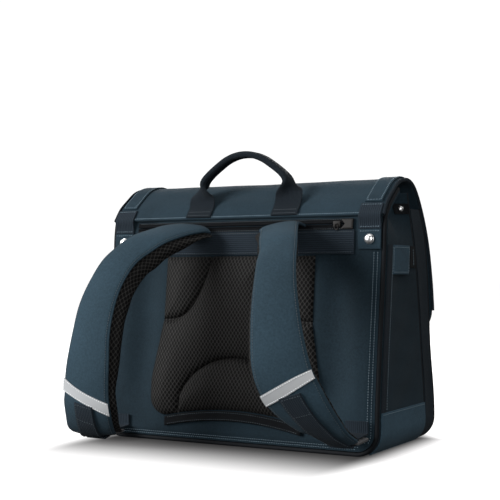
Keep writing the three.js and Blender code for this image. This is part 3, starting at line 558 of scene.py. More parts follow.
def start_material(name, rough, sheen=0.0, metal=0.0, specular=0.14):
    """A material with its Principled shader, its nodes, and the piece's UV map."""
    made = bpy.data.materials.new(name)
    made.use_nodes = True
    n = Nodes(made.node_tree)
    shader = made.node_tree.nodes["Principled BSDF"]
    shader.inputs["Roughness"].default_value = rough
    shader.inputs["Metallic"].default_value = metal
    shader.inputs["Sheen Weight"].default_value = sheen
    shader.inputs["Sheen Roughness"].default_value = 0.5
    shader.inputs["Specular IOR Level"].default_value = specular
    where = n.add("ShaderNodeTexCoord")
    return made, n, shader, where


def bump(n, shader, height, distance, strength):
    """Raises a surface by a height in metres."""
    made = n.add("ShaderNodeBump", {"Height": height, "Distance": distance, "Strength": strength})
    n.tree.links.new(made.outputs[0], shader.inputs["Normal"])


def canvas_material(name, color, groups):
    """Plain woven canvas with uneven dye."""
    made, n, shader, where = start_material(name, 0.87, 0.02, 0.0, 0.06)
    threads = n.group(groups["weave"], {"Vector": where.outputs["UV"], "Threads": 1250.0})
    dye = n.group(groups["mottle"], {"Vector": where.outputs["Object"], "Broad": 8.0, "Fine": 430.0})
    tone = n.blend(dye["Mask"], shade(color, 0.1), shade(color, 1.9))
    # The gaps between threads are darkened: painted shade.
    tone = n.blend(n.math("MULTIPLY", threads["Gaps"], 0.5), tone, shade(color, 0.45))
    n.tree.links.new(tone, shader.inputs["Base Color"])
    rough = n.math("ADD", n.math("MULTIPLY", dye["Mask"], 0.16), 0.74)
    n.tree.links.new(rough, shader.inputs["Roughness"])
    bump(n, shader, threads["Height"], 0.00022, 0.7)
    return made


def webbing_material(name, color, groups, ribs=400.0, turned=False):
    """Ribbed webbing. Turned webbing has its ribs along the piece's u."""
    made, n, shader, where = start_material(name, 0.78, 0.02, 0.0, 0.07)
    spot = where.outputs["UV"]
    if turned:
        u, v = n.split(spot)
        spot = n.add("ShaderNodeCombineXYZ", {0: v, 1: u}).outputs[0]
    rows = n.group(groups["ribs"], {"Vector": spot, "Ribs": ribs})
    dye = n.group(groups["mottle"], {"Vector": where.outputs["Object"], "Broad": 14.0, "Fine": 700.0})
    tone = n.blend(dye["Mask"], shade(color, 0.78), shade(color, 1.22))
    # The grooves between ribs are darkened: painted shade.
    tone = n.blend(n.math("MULTIPLY", rows["Gaps"], 0.8), tone, shade(color, 0.3))
    n.tree.links.new(tone, shader.inputs["Base Color"])
    bump(n, shader, rows["Height"], 0.0005, 0.9)
    return made


def mesh_material(name, color, groups, flat=False, wide=215.0, tall=150.0, opening=0.36):
    """Spacer mesh with diamond holes painted nearly black: its dark inside, deepened with painted shade. A
    flat one is laid out on x and z.
    """
    made, n, shader, where = start_material(name, 0.72, 0.0)
    spot = where.outputs["UV"]
    if flat:
        parts = n.add("ShaderNodeSeparateXYZ", {0: where.outputs["Object"]}).outputs
        spot = n.add("ShaderNodeCombineXYZ", {0: parts[0], 1: parts[2]}).outputs[0]
    net = n.group(groups["diamonds"], {"Vector": spot, "Wide": wide, "Tall": tall, "Open": opening})
    dye = n.group(groups["mottle"], {"Vector": where.outputs["Object"], "Broad": 18.0, "Fine": 900.0})
    tone = n.blend(dye["Mask"], shade(color, 0.8), shade(color, 2.0))
    # The holes: the dark inside with painted shade.
    tone = n.blend(net["Holes"], tone, shade(color, 0.01))
    n.tree.links.new(tone, shader.inputs["Base Color"])
    bump(n, shader, net["Height"], 0.0012, 0.9)
    return made


def reflector_material(name, color, groups):
    """Silver-grey reflective tape with a fine bead grain."""
    made, n, shader, where = start_material(name, 0.42)
    threads = n.group(groups["weave"], {"Vector": where.outputs["UV"], "Threads": 2200.0})
    dye = n.group(groups["mottle"], {"Vector": where.outputs["Object"], "Broad": 22.0, "Fine": 1500.0})
    n.tree.links.new(n.blend(dye["Mask"], shade(color, 0.88), shade(color, 1.1)), shader.inputs["Base Color"])
    bump(n, shader, threads["Height"], 0.00008, 0.4)
    return made


def plain_material(name, color, groups, rough, grain, depth, low=0.85, high=1.15, metal=0.0, specular=0.5):
    """Moulded plastic, plated steel or thread: one colour with a grain and slightly uneven gloss."""
    made, n, shader, where = start_material(name, rough, 0.0, metal, specular)
    dye = n.group(groups["mottle"], {"Vector": where.outputs["Object"], "Broad": 60.0, "Fine": grain})
    tone = n.blend(dye["Mask"], shade(color, low), shade(color, high))
    n.tree.links.new(tone, shader.inputs["Base Color"])
    gloss = n.math("ADD", n.math("MULTIPLY", dye["Mask"], 0.14), rough - 0.07)
    n.tree.links.new(gloss, shader.inputs["Roughness"])
    bump(n, shader, dye["Mask"], depth, 0.6)
    return made


def coil_material(name, color, groups):
    """Zip tape: a woven band with the closed coil along its inner edge as fine teeth."""
    made, n, shader, where = start_material(name, 0.75, 0.0, 0.0, 0.06)
    along = n.split(where.outputs["UV"])[0]
    teeth = n.math("ABSOLUTE", n.math("SINE", n.math("MULTIPLY", along, 2100.0)))
    dye = n.group(groups["mottle"], {"Vector": where.outputs["Object"], "Broad": 30.0, "Fine": 900.0})
    tone = n.blend(dye["Mask"], shade(color, 0.7), shade(color, 1.4))
    tone = n.blend(n.math("MULTIPLY", teeth, 0.5), tone, shade(color, 0.4))
    n.tree.links.new(tone, shader.inputs["Base Color"])
    bump(n, shader, teeth, 0.0004, 0.8)
    return made


class SatchelColours(bpy.types.PropertyGroup):
    """The satchel's colours."""

    canvas: bpy.props.FloatVectorProperty(
        name="Canvas",
        description="Colour of the canvas",
        subtype="COLOR",
        size=3,
        min=0,
        max=1,
        default=(0.017, 0.032, 0.044),
    )
    canvas_dark: bpy.props.FloatVectorProperty(
        name="Dark canvas",
        description="Colour of the base and the front gusset",
        subtype="COLOR",
        size=3,
        min=0,
        max=1,
        default=(0.010, 0.016, 0.022),
    )
    webbing: bpy.props.FloatVectorProperty(
        name="Webbing",
        description="Colour of the webbing and bindings",
        subtype="COLOR",
        size=3,
        min=0,
        max=1,
        default=(0.014, 0.021, 0.029),
    )
    trim: bpy.props.FloatVectorProperty(
        name="Trim",
        description="Colour of the piping and the zip",
        subtype="COLOR",
        size=3,
        min=0,
        max=1,
        default=(0.005, 0.006, 0.0075),
    )
    mesh: bpy.props.FloatVectorProperty(
        name="Mesh",
        description="Colour of the spacer mesh",
        subtype="COLOR",
        size=3,
        min=0,
        max=1,
        default=(0.017, 0.0165, 0.016),
    )
    thread: bpy.props.FloatVectorProperty(
        name="Thread",
        description="Colour of the stitching",
        subtype="COLOR",
        size=3,
        min=0,
        max=1,
        default=(0.105, 0.155, 0.19),
    )
    reflector: bpy.props.FloatVectorProperty(
        name="Reflector",
        description="Colour of the reflective bands",
        subtype="COLOR",
        size=3,
        min=0,
        max=1,
        default=(0.35, 0.36, 0.37),
    )


class SatchelSizes(bpy.types.PropertyGroup):
    """Sizes that change the satchel's finish."""

    valley_depth: bpy.props.FloatProperty(
        name="Valley depth",
        description="Depth of the soft valleys beside the pads",
        default=7 * MM,
        unit="LENGTH",
    )
    pad_crown: bpy.props.FloatProperty(
        name="Pad crown",
        description="How far the mesh pads swell",
        default=10 * MM,
        unit="LENGTH",
    )
    stitch_length: bpy.props.FloatProperty(
        name="Stitch length",
        description="Length of one stitch",
        default=2.0 * MM,
        unit="LENGTH",
    )
    stitch_pitch: bpy.props.FloatProperty(
        name="Stitch pitch",
        description="From one stitch to the next",
        default=3.0 * MM,
        unit="LENGTH",
    )


class SATCHEL_OT_finishes(bpy.types.Operator):
    """Makes the canvas, webbing, mesh, tape, thread, plastic and steel"""

    bl_idname = "satchel.finishes"
    bl_label = "Finishes"

    def execute(self, context):
        colours = context.scene.satchel_colours
        groups = dict(weave=weave_group(), mottle=mottle_group(), ribs=rib_group(), diamonds=diamond_group())
        for key, name, tone in (
            ("canvas", "Canvas", 1),
            # Canvas darkened to 0.64 for the back panel and the gussets: painted shade.
            ("canvas_painted_shade", "Canvas with painted shade", 0.64),
            # Canvas darkened to 0.86 for the flap, its corner strips and the rivet patches: painted shade on
            # the flap's lit top.
            ("canvas_flap_painted_shade", "Flap canvas with painted shade", 0.86),
            # Canvas lightened to 1.2 for the strap shells: painted light on the straps, which stand out into
            # the light.
            ("canvas_strap_painted_light", "Strap canvas with painted light", 1.2),
            # Canvas lightened to 1.9 for the side and corner patches: painted light on the dimly lit gussets.
            ("canvas_patch_painted_light", "Patch canvas with painted light", 1.9),
        ):
            FINISHES[key] = canvas_material(name, shade(colours.canvas, tone), groups)
        # zip_tape is the trim colour darkened to 0.75: painted shade on the zip's upward face.
        dark_thread, zip_tape = shade(colours.thread, 0.28), shade(colours.trim, 0.75)
        FINISHES.update(
            canvas_dark=canvas_material("Dark canvas", colours.canvas_dark, groups),
            webbing=webbing_material("Webbing", colours.webbing, groups),
            binding=webbing_material("Binding", colours.webbing, groups, 900.0),
            band=webbing_material("Anchor webbing", colours.webbing, groups, 400.0, True),
            # The handle's webbing darkened to 0.62: painted shade on its top, which faces the top light.
            handle=webbing_material("Handle webbing with painted shade", shade(colours.webbing, 0.62), groups, 620.0),
            black_webbing=webbing_material("Black webbing", colours.trim, groups, 700.0),
            zip=coil_material("Zip tape", zip_tape, groups),
            mesh=mesh_material("Spacer mesh", colours.mesh, groups, True, 205.0, 140.0, 0.27),
            lining=mesh_material("Lining mesh", colours.mesh, groups, False, 190.0, 140.0, 0.27),
            reflector=reflector_material("Reflective tape", colours.reflector, groups),
        )
        tab, plated = dict(low=0.8, high=1.2, specular=0.2), dict(low=0.94, high=1.04, metal=1.0)
        for key, name, colour, rough, grain, depth, more in (
            ("rubber", "Tab", (0.011, 0.01, 0.0095), 0.6, 1500.0, 0.0001, tab),
            ("trim", "Trim", colours.trim, 0.75, 900.0, 0.0002, dict(low=0.6, high=1.6, specular=0.12)),
            ("thread", "Thread", colours.thread, 0.6, 2500.0, 0.0001, dict(low=0.8, high=1.25)),
            ("dark_thread", "Dark thread", dark_thread, 0.6, 2500.0, 0.0001, {}),
            ("pale_thread", "Pale thread", (0.7, 0.72, 0.73), 0.6, 2500.0, 0.0001, {}),
            ("plastic", "Moulded plastic", (0.06, 0.06, 0.062), 0.45, 2600.0, 0.00006, {}),
            ("steel", "Plated steel", (0.9, 0.9, 0.9), 0.3, 300.0, 0.00002, plated),
        ):
            FINISHES[key] = plain_material(name, colour, groups, rough, grain, depth, **more)
        return {"FINISHED"}


# Places on the satchel, in millimetres. Each function gives the outer face at u and v from 0 to 1.


def laid(place, u, v):
    """The places at u and v as rows of x, y and z."""
    return np.stack(np.broadcast_arrays(*place(u, v)), -1).astype(float)


def on_side(side, place):
    """A place on the right side, or its mirror image on the left, facing outwards."""
    if side > 0:
        return place

    def mirrored(u, v):
        x, y, z = place(1 - u, v)
        return -x, y, z

    return mirrored


def outline(inset, top, count):
    """Round the body from the top of its right side, under it, to the top of its left side."""
    radius = CORNER_RADIUS - inset
    turn = np.linspace(0, math.pi / 2, 16)
    right = np.stack([HALF - CORNER_RADIUS + radius * np.cos(turn), CORNER_RADIUS - radius * np.sin(turn)], 1)
    if top > CORNER_RADIUS:
        right = np.concatenate([[(HALF - inset, top)], right])
    path = np.concatenate([right, right[::-1] * (-1, 1)])
    return at_run(path, np.linspace(0, run_of(path)[-1], count))


CORNER_SHARE = 0.16  # of a panel's rows that lie in its round bottom corners


def panel_height(v, top):
    """Height up a panel at a share of its rows."""
    turn = np.clip(v / CORNER_SHARE, 0, 1) * math.pi / 2
    above = np.clip((v - CORNER_SHARE) / (1 - CORNER_SHARE), 0, 2)
    return CORNER_RADIUS - (CORNER_RADIUS - SEAM_ROOM) * np.cos(turn) + above * (top - CORNER_RADIUS)


def panel_share(z, top):
    """The v of a height above the round corners."""
    return CORNER_SHARE + (1 - CORNER_SHARE) * (z - CORNER_RADIUS) / (top - CORNER_RADIUS)


def edge_drop(x, z, room, drop):
    """How far a padded panel draws in towards its piping."""
    side = half_at(z, SEAM_ROOM) - np.abs(x)
    near = np.minimum(side, z - SEAM_ROOM)
    return drop * (1 - step_up(near, 0, room))


VALLEY_OUT, VALLEY_HALF = 134, 30  # how far out the valleys lie, and half their width


def valleys(x, z):
    """The soft valleys beside the mesh pads."""
    depth = bpy.context.scene.satchel_sizes.valley_depth / MM
    off = np.clip(np.abs(np.abs(x) - VALLEY_OUT) / VALLEY_HALF, 0, 1)
    fade = step_up(z, 24, 84) * (1 - 0.8 * step_up(z, 196, 232))
    return depth * (0.5 + 0.5 * np.cos(math.pi * off)) * fade


def back_face(x, z):
    """Depth of the back panel's face."""
    calm = 1 - step_up(z, 215, 232)
    away = step_up(half_at(z, SEAM_ROOM) - np.abs(x), 0, 25) * step_up(z, 6, 30)
    wave = 0.9 * ripple(x, z, 0.7) * calm * away
    return y_at(BACK_LINE, z) + edge_drop(x, z, 11, 2.4) + valleys(x, z) + wave


def back_place(u, v):
    z = panel_height(v, BACK_TOP)
    x = (2 * u - 1) * half_at(z, SEAM_ROOM)
    return x, back_face(x, z), z


def front_place(u, v):
    z = panel_height(v, FRONT_TOP)
    x = (1 - 2 * u) * half_at(z, SEAM_ROOM)
    crown = (1 - np.abs(2 * u - 1) ** 2.5) * (1 - np.abs(2 * np.clip(z / FRONT_TOP, 0, 1) - 1) ** 2.5)
    y = y_at(FRONT_LINE, z) - 2.5 * (1 - crown) - edge_drop(x, z, 9, 1.4) + 0.5 * ripple(x, z, 2.2)
    return x, y, z


def fold_in(share, z):
    """How far the gusset folds in at the top: a soft crease that leans to the back."""
    crease = 1 - np.abs(2 * share - 1)
    mix = 0.55 * np.sin(math.pi * share) + 0.45 * crease
    return 24 * step_up(z, 236, GUSSET_TOP) * mix


def gusset_side(share, z, lift=0.0):
    """The right gusset's face at a share of its width and a height."""
    calm = np.sin(math.pi * np.clip(share, 0, 1))
    dent = (2.2 * ripple(90 * share, 1.4 * z, 1.1) + 2.6 * step_up(z, 60, 150)) * calm
    y = y_at(GUSSET_FROM, z) + share * (y_at(GUSSET_TO, z) - y_at(GUSSET_FROM, z))
    return HALF - fold_in(share, z) - dent * (1 - step_up(z, 200, 214)) + lift, y, z


def gusset_place(u, v):
    return gusset_side(u, CORNER_RADIUS + 0.7 + v * (GUSSET_TOP - CORNER_RADIUS - 0.7))


def side_strip(low, high, start, width, lift):
    """A strip on the right gusset: heights, distance of its back edge from the back, width, lift."""

    def place(u, v):
        z = low + v * (high - low)
        y = y_at(GUSSET_FROM, z) + start + u * width
        swell = np.minimum(1, 6 * np.minimum(u, 1 - u) + 0.35)
        return HALF + GAP + lift * swell, y, z

    return place


def to_front_strip(low, high, start, lift):
    """A strip on the right gusset from a distance off the back to the front seam."""

    def place(u, v):
        z = low + v * (high - low)
        first = y_at(GUSSET_FROM, z) + start
        return HALF + GAP + lift + 0 * u, first + u * (y_at(GUSSET_TO, z) - first), z

    return place


CORNER_PATCH_TOP = 50


def corner_place(u, v):
    """The right corner patch, from its top down round the corner."""
    drop = CORNER_PATCH_TOP - CORNER_RADIUS
    straight = drop / (drop + CORNER_RADIUS * math.pi / 3)
    turn = np.clip((v - straight) / (1 - straight), 0, 1.2) * math.pi / 3
    radius = CORNER_RADIUS + GAP + TAPE_WALL
    below = CORNER_RADIUS - radius * np.sin(turn)
    z = np.where(v < straight, CORNER_PATCH_TOP - drop * v / straight, below)
    x = HALF - CORNER_RADIUS + radius * np.cos(turn)
    y = y_at(GUSSET_FROM, z) + (1 - u) * (y_at(GUSSET_TO, z) - y_at(GUSSET_FROM, z))
    return x, y, z


def band_round(path_top, first, last):
    """A band round the body between two lines in depth."""
    path = outline(0, path_top, 240)

    def place(u, v):
        x, z = np.moveaxis(at_run(path, u * run_of(path)[-1]), -1, 0)
        sag = 0.8 * np.sin(math.pi * np.clip(v, 0, 1)) * (0.6 + 0.4 * np.sin(0.09 * x + 0.05 * z))
        out_x, out_z = np.where(z > CORNER_RADIUS, np.sign(x), 0), np.where(z < 1, -1, 0)
        return x - sag * out_x, y_at(first, z) + v * (y_at(last, z) - y_at(first, z)), z - sag * out_z

    return place


def flap_half(run):
    left = np.clip(FLAP_CORNER - (FLAP_RUN - run), 0, FLAP_CORNER)
    return FLAP_WIDTH / 2 - FLAP_CORNER + np.sqrt(FLAP_CORNER**2 - left**2)


def flap_at(x, run, lift=0.0):
    """A place over the flap at a distance from its back edge."""
    y, z = np.moveaxis(at_run(FLAP_LINE, np.clip(run, 0, FLAP_RUN)), -1, 0)
    after, before = (at_run(FLAP_LINE, np.clip(run + step, 0, FLAP_RUN)) for step in (1, -1))
    way = (after - before) / np.maximum(np.linalg.norm(after - before, axis=-1, keepdims=True), 1e-6)
    middle = 1 - (np.abs(x) / (FLAP_WIDTH / 2)) ** 2
    sag = 0.9 * middle * step_up(run, 20, 90) * (1 - step_up(run, 150, 230))
    soft = 0.45 * ripple(x, run, 3.1) * step_up(run, 4, 30) * step_up(FLAP_WIDTH / 2 - np.abs(x), 34, 60)
    rise = lift - sag - soft - 1.1 * (1 - step_up(FLAP_WIDTH / 2 - np.abs(x), 0, 6))
    beyond = run - np.clip(run, 0, FLAP_RUN)
    return x, y - way[..., 1] * rise + beyond * way[..., 0], z + way[..., 0] * rise + beyond * way[..., 1]


def flap_place(u, v):
    run = v * FLAP_RUN
    return flap_at((2 * u - 1) * flap_half(run), run)


def flap_strip(x0, x1, start, end, lift):
    """A strip on the flap between two places across and two distances from its back edge."""

    def place(u, v):
        return flap_at(x0 + u * (x1 - x0), start + v * (end - start), lift)

    return place


def back_strip(x0, x1, low, high, lift):
    """A flat strip on the back between two places across and two heights."""
    line = aside(BACK_LINE, lift)

    def place(u, v):
        z = low + v * (high - low)
        return x0 + u * (x1 - x0), y_at(line, z), z

    return place


def tab_place(u, v):
    """The right webbing tab, from the riveted patch up on to the flap."""
    foot = [(y_at(aside(BACK_LINE, GAP + TAPE_WALL), z), z) for z in (ZIP_FOOT + 0.4, ZIP_FOOT + 4.1)]
    head = np.stack(flap_at(np.zeros(6), np.linspace(0.3, TAB_RISE, 6), GAP + TAPE_WALL)[1:], 1)
    line = smooth([*foot, *head], 60)
    y, z = np.moveaxis(at_run(line, v * run_of(line)[-1]), -1, 0)
    return STRIP_OFFSET + (u - 0.5) * TAB_WIDTH, y, z


# Mesh pads: foot and head are heights over x, counted from the middle
PAD_TOP, PAD_SIDE, PAD_FOOT_SIDE = 228, 103, 117
PAD_INNER, PAD_FOOT = 37, 150
PAD_EDGE_ROUND, PAD_CROWN_REACH = 8, 36  # how far in the edge rounds over, and the crown rises
ARCH_TOP, ARCH_HALF = 104, 78
BINDING_HALF, BINDING_FOOT, BINDING_DROP, BINDING_HEIGHT = 94, 30, 11, 12
GROOVE = 1.2
PINNED_EDGE = 3.6  # what lies nearer to the back than this is held by the seam


def binding_head(x):
    return BINDING_FOOT - BINDING_DROP * (x / BINDING_HALF) ** 2 + BINDING_HEIGHT


def arch_foot(x):
    return binding_head(x) + GROOVE


def arch_at(x):
    foot = arch_foot(ARCH_HALF)
    return foot + (ARCH_TOP - foot) * np.sqrt(np.clip(1 - (x / ARCH_HALF) ** 2, 0, 1))


def groove_at(x):
    share = np.clip((np.abs(x) - PAD_INNER) / (PAD_SIDE - PAD_INNER), 0, 1)
    return PAD_FOOT + (PAD_TOP - PAD_FOOT) * (1 - share) ** 3


def side_foot(x):
    share = np.clip((np.abs(x) - BINDING_HALF) / (PAD_FOOT_SIDE - BINDING_HALF), 0, 1)
    return arch_foot(BINDING_HALF) + 24 * (1 - np.sqrt(1 - share * share))


def centre_foot(x):
    out = np.abs(x)
    inner = np.where(out < BINDING_HALF, arch_foot(x), side_foot(x))
    return np.where(out < ARCH_HALF, arch_at(x) + GROOVE, inner)


def centre_head(x):
    out = np.abs(x)
    share = np.clip((out - PAD_SIDE) / (PAD_FOOT_SIDE - PAD_SIDE), 0, 1)
    beside = PAD_FOOT - GROOVE + share * (0.72 * ARCH_TOP - PAD_FOOT + GROOVE)
    return np.where(out < PAD_INNER, PAD_TOP, np.where(out < PAD_SIDE, groove_at(out) - GROOVE, beside))


def upper_foot(x):
    return groove_at(x) + GROOVE / 2


def upper_head(x):
    return PAD_TOP + 0 * x


def pad_edge(x0, x1, foot, head):
    """The pad's outline, as places in x and z less than a millimetre apart."""
    x = np.linspace(x0, x1, 900)
    low, high = np.stack([x, foot(x)], 1), np.stack([x, head(x)], 1)
    line = np.concatenate([low, high[::-1], low[:1]])
    return at_run(line, np.linspace(0, run_of(line)[-1], 1000))


def pad_place(x0, x1, foot, head, crown):
    """A mesh pad: a crowned face that rounds down to the back at its edges."""
    edge = pad_edge(x0, x1, foot, head)

    def place(u, v):
        x = x0 + u * (x1 - x0)
        z = foot(x) + v * (head(x) - foot(x))
        near = np.full(len(x), 1e3)
        for part in np.array_split(edge, 20):
            near = np.minimum(near, np.hypot(x[:, None] - part[:, 0], z[:, None] - part[:, 1]).min(1))
        near[(u <= 0) | (u >= 1) | (v <= 0) | (v >= 1)] = 0
        side = 1 - np.clip(near / PAD_EDGE_ROUND, 0, 1)
        far = np.clip(near / PAD_CROWN_REACH, 0, 1)
        rise = (crown - 4) * (1 - (1 - far) ** 2) + 4
        return x, y_at(BACK_LINE, z) - 0.7 - rise * np.sqrt(np.clip(1 - side * side, 0, 1)), z

    return place


def backing_place(u, v):
    """The mesh sheet under the pads, seen in the grooves between them."""
    x = (2 * u - 1) * (PAD_FOOT_SIDE - 1)
    low = np.where(np.abs(x) < BINDING_HALF, binding_head(x) + 1, side_foot(x) + 1)
    high = np.where(np.abs(x) < PAD_SIDE - 1, PAD_TOP, centre_head(x)) - 1
    z = low + v * (high - low)
    return x, y_at(BACK_LINE, z) - 0.65, z


def binding_place(u, v):
    x = (2 * u - 1) * BINDING_HALF
    z = binding_head(x) - (1 - v) * BINDING_HEIGHT
    lift = 0.7 + 3.2 * np.minimum(1, 0.55 + 5 * np.minimum(v, 1 - v))
    return x, y_at(BACK_LINE, z) - lift, z


# Straps


STRAP_FOOT = y_at(BACK_LINE, BAND_TOP) - 4 * GAP - TAPE_WALL


def strap_spot(out, reach, height):
    """A place of the strap tables, in millimetres."""
    return STRAP_ANCHOR + out * STRAP_SPREAD, STRAP_FOOT - reach * STRAP_REACH, height * STRAP_TOP


def strap_line(side):
    """Places down a strap with its width, padding and roll, and its frames, as arrays."""
    rows = STRAP_UPPER + STRAP_LOWER[side]
    line = smooth([(*strap_spot(*row[:3]), *row[3:]) for row in rows], 140, 3)
    place = line[:, :3]
    along = np.gradient(place, axis=0)
    end = place[-1]
    anchor = np.array([end[0], y_at(BACK_LINE, end[2] + SHELL_WALL), end[2] + SHELL_WALL])
    out = (anchor - end) / np.linalg.norm(anchor - end)
    along /= np.linalg.norm(along, axis=1, keepdims=True)
    turn = step_up(np.linspace(0, 1, len(line)), 0.9, 1)[:, None]
    along = along * (1 - turn) + out * turn
    along /= np.linalg.norm(along, axis=1, keepdims=True)
    level = np.array([1.0, 0, 0]) - along * along[:, :1]
    level /= np.linalg.norm(level, axis=1, keepdims=True)
    roll = np.radians(line[:, 5])[:, None]
    across = level * np.cos(roll) + np.cross(along, level) * np.sin(roll)
    return dict(
        place=place,
        along=along,
        across=across,
        up=np.cross(along, across),
        width=line[:, 3] * STRAP_WIDTH,
        padding=line[:, 4],
        run=run_of(place),
        end=end,
        out=out,
        anchor=anchor,
    )


STRAPS = {side: strap_line(side) for _, side in SIDES}


def strap_at(side, run, offset, rise):
    """A place over a strap on the right side: distance down it, across it, and above its face."""
    strap = STRAPS[side]

    def take(key):
        values = strap[key]
        return np.stack([np.interp(run, strap["run"], values[:, k]) for k in range(3)], -1)

    width = np.interp(run, strap["run"], strap["width"])
    drop = STRAP_CROWN * (2 * offset / width) ** 2
    spot = take("place") + take("across") * offset[..., None] + take("up") * (rise - drop)[..., None]
    return np.moveaxis(spot, -1, 0)


def strap_width(side, run):
    return np.interp(run, STRAPS[side]["run"], STRAPS[side]["width"])


TOP_SPREAD, TOP_SPREAD_RUN = 13, 34  # how far a strap spreads at its top, and down to where


def shell_place(side):
    """The outer face of a strap's shell, spread on one side at its top."""

    def place(u, v):
        run = v * STRAPS[side]["run"][-1]
        spread = TOP_SPREAD * (1 - step_up(run, 0, TOP_SPREAD_RUN)) * (1 - u) ** 2
        offset = (0.5 - u) * strap_width(side, run) + spread
        near = np.minimum(u, 1 - u) * strap_width(side, run)
        soft = 0.5 * ripple(offset, run, 1.7 + side) * step_up(near, 2, 14)
        return strap_at(side, run, offset, soft - 1.2 * (1 - step_up(near, 0, 5)))

    return place


def lining_place(side):
    """The mesh lining of a strap: a closed round, wider than the shell on its inner side."""

    def place(u, v):
        strap = STRAPS[side]
        run = v * strap["run"][-1]
        width = strap_width(side, run)
        padding = np.interp(run, strap["run"], strap["padding"])
        thick = padding * STRAP_PADDING - SHELL_WALL
        close = np.sqrt(np.clip(1 - (1 - np.clip(np.minimum(v, 1 - v) / 0.012, 0, 1)) ** 2, 0, 1))
        turn = 2 * math.pi * u
        c, s = np.cos(turn), np.sin(turn)
        wide = np.sign(c) * np.abs(c) ** 0.55
        deep = np.sign(s) * np.abs(s) ** 0.7
        back = 0.5 - 0.5 * deep
        offset = wide * (width / 2 + LINING_OVERHANG / 4) - LINING_OVERHANG / 4
        inset = LINING_OVERHANG / 2 + (LINING_INSET - LINING_OVERHANG / 2) * (wide + 1) / 2
        offset = offset - padding * inset * back
        rise = -SHELL_WALL - SEAM_GAP - thick / 2 + deep * thick / 2 * (0.3 + 0.7 * close)
        return strap_at(side, run, np.clip(offset, -width / 2 - 14, width / 2), rise)

    return place


def webbing_on_strap(side, start):
    """The ribbed webbing down the shell's middle, from a distance down the strap to its end."""

    def place(u, v):
        run = start + v * (STRAPS[side]["run"][-1] - start)
        offset = (0.5 - u) * WEBBING_WIDTH
        return strap_at(side, run, offset, SEAM_GAP + TAPE_WALL + 0 * offset)

    return place


def reflector_place(side, middle, skew, height):
    """The reflective band, laid across the strap at a slant."""

    def place(u, v):
        run = middle + skew * (1 - 2 * u) / 2 + (v - 0.5) * height
        offset = (1 - 2 * u) * strap_width(side, run) / 2
        return strap_at(side, run, offset, 1.1 + 0 * offset)

    return place


# Stitching


def seam(place, start, end, lift=0.15, count=240):
    """A line on a laid surface from one (u, v) to another: its places, and the way up from each."""
    t = np.linspace(0, 1, count)
    u = start[0] + (end[0] - start[0]) * t
    v = start[1] + (end[1] - start[1]) * t
    step = 2e-3
    spot = laid(place, u, v)
    across = laid(place, u + step, v) - laid(place, u - step, v)
    up = np.cross(across, laid(place, u, v + step) - laid(place, u, v - step))
    up /= np.maximum(np.linalg.norm(up, axis=1, keepdims=True), 1e-9)
    return spot + lift * up, up


def one_stitch():
    """A single stitch of length 2, 6 by 4 faces round, to be copied along the seams."""
    deselect()
    bpy.ops.mesh.primitive_uv_sphere_add(segments=6, ring_count=4, radius=1, rotation=(0, math.pi / 2, 0))
    bpy.ops.object.transform_apply(location=False, rotation=True, scale=False)
    return named("stitch")


def sew(name, seams, slant=0.0, thick=0.45):
    """Rows of stitches along seams, as one piece."""
    sizes = bpy.context.scene.satchel_sizes
    length, pitch = sizes.stitch_length / MM, sizes.stitch_pitch / MM
    model = one_stitch()
    shape = np.array([v.co[:] for v in model.data.vertices])
    faces = [list(p.vertices) for p in model.data.polygons]
    bpy.ops.object.delete()
    points, sides = [], []
    for spots, ups in seams:
        run = run_of(spots)
        count = max(int(run[-1] / pitch), 1)
        at = (np.arange(count) + 0.5) * run[-1] / count
        spot, ahead = at_run(spots, at), at_run(spots, at + 0.5) - at_run(spots, at - 0.5)
        up = np.stack([np.interp(at, run, ups[:, k]) for k in range(3)], 1)
        along = ahead / np.maximum(np.linalg.norm(ahead, axis=1, keepdims=True), 1e-9)
        beside = np.cross(up, along)
        angle = math.radians(slant)
        axis = along * math.cos(angle) + beside * math.sin(angle)
        other = np.cross(up, axis)
        uneven = 1 + 0.1 * np.sin(7.3 * np.arange(count))[:, None, None]
        laid_out = (
            spot[:, None]
            + axis[:, None] * shape[None, :, :1] * length / 2 * uneven
            + other[:, None] * shape[None, :, 1:2] * thick
            + up[:, None] * shape[None, :, 2:] * thick * 0.9
        )
        for copy in laid_out:
            base = len(points)
            points.extend(copy * MM)
            sides.extend([base + i for i in face] for face in faces)
    mesh = bpy.data.meshes.new(name)
    mesh.from_pydata(points, [], sides)
    piece = bpy.data.objects.new(name, mesh)
    bpy.context.collection.objects.link(piece)
    pick(piece)
    turn_out(piece)
    return piece


def thread_piece(name, seams, key="thread", slot=None, **how):
    """Sewn seams as a finished piece."""
    finish(sew(name, seams, **how), key, angle=80, slot=slot)


# Pieces


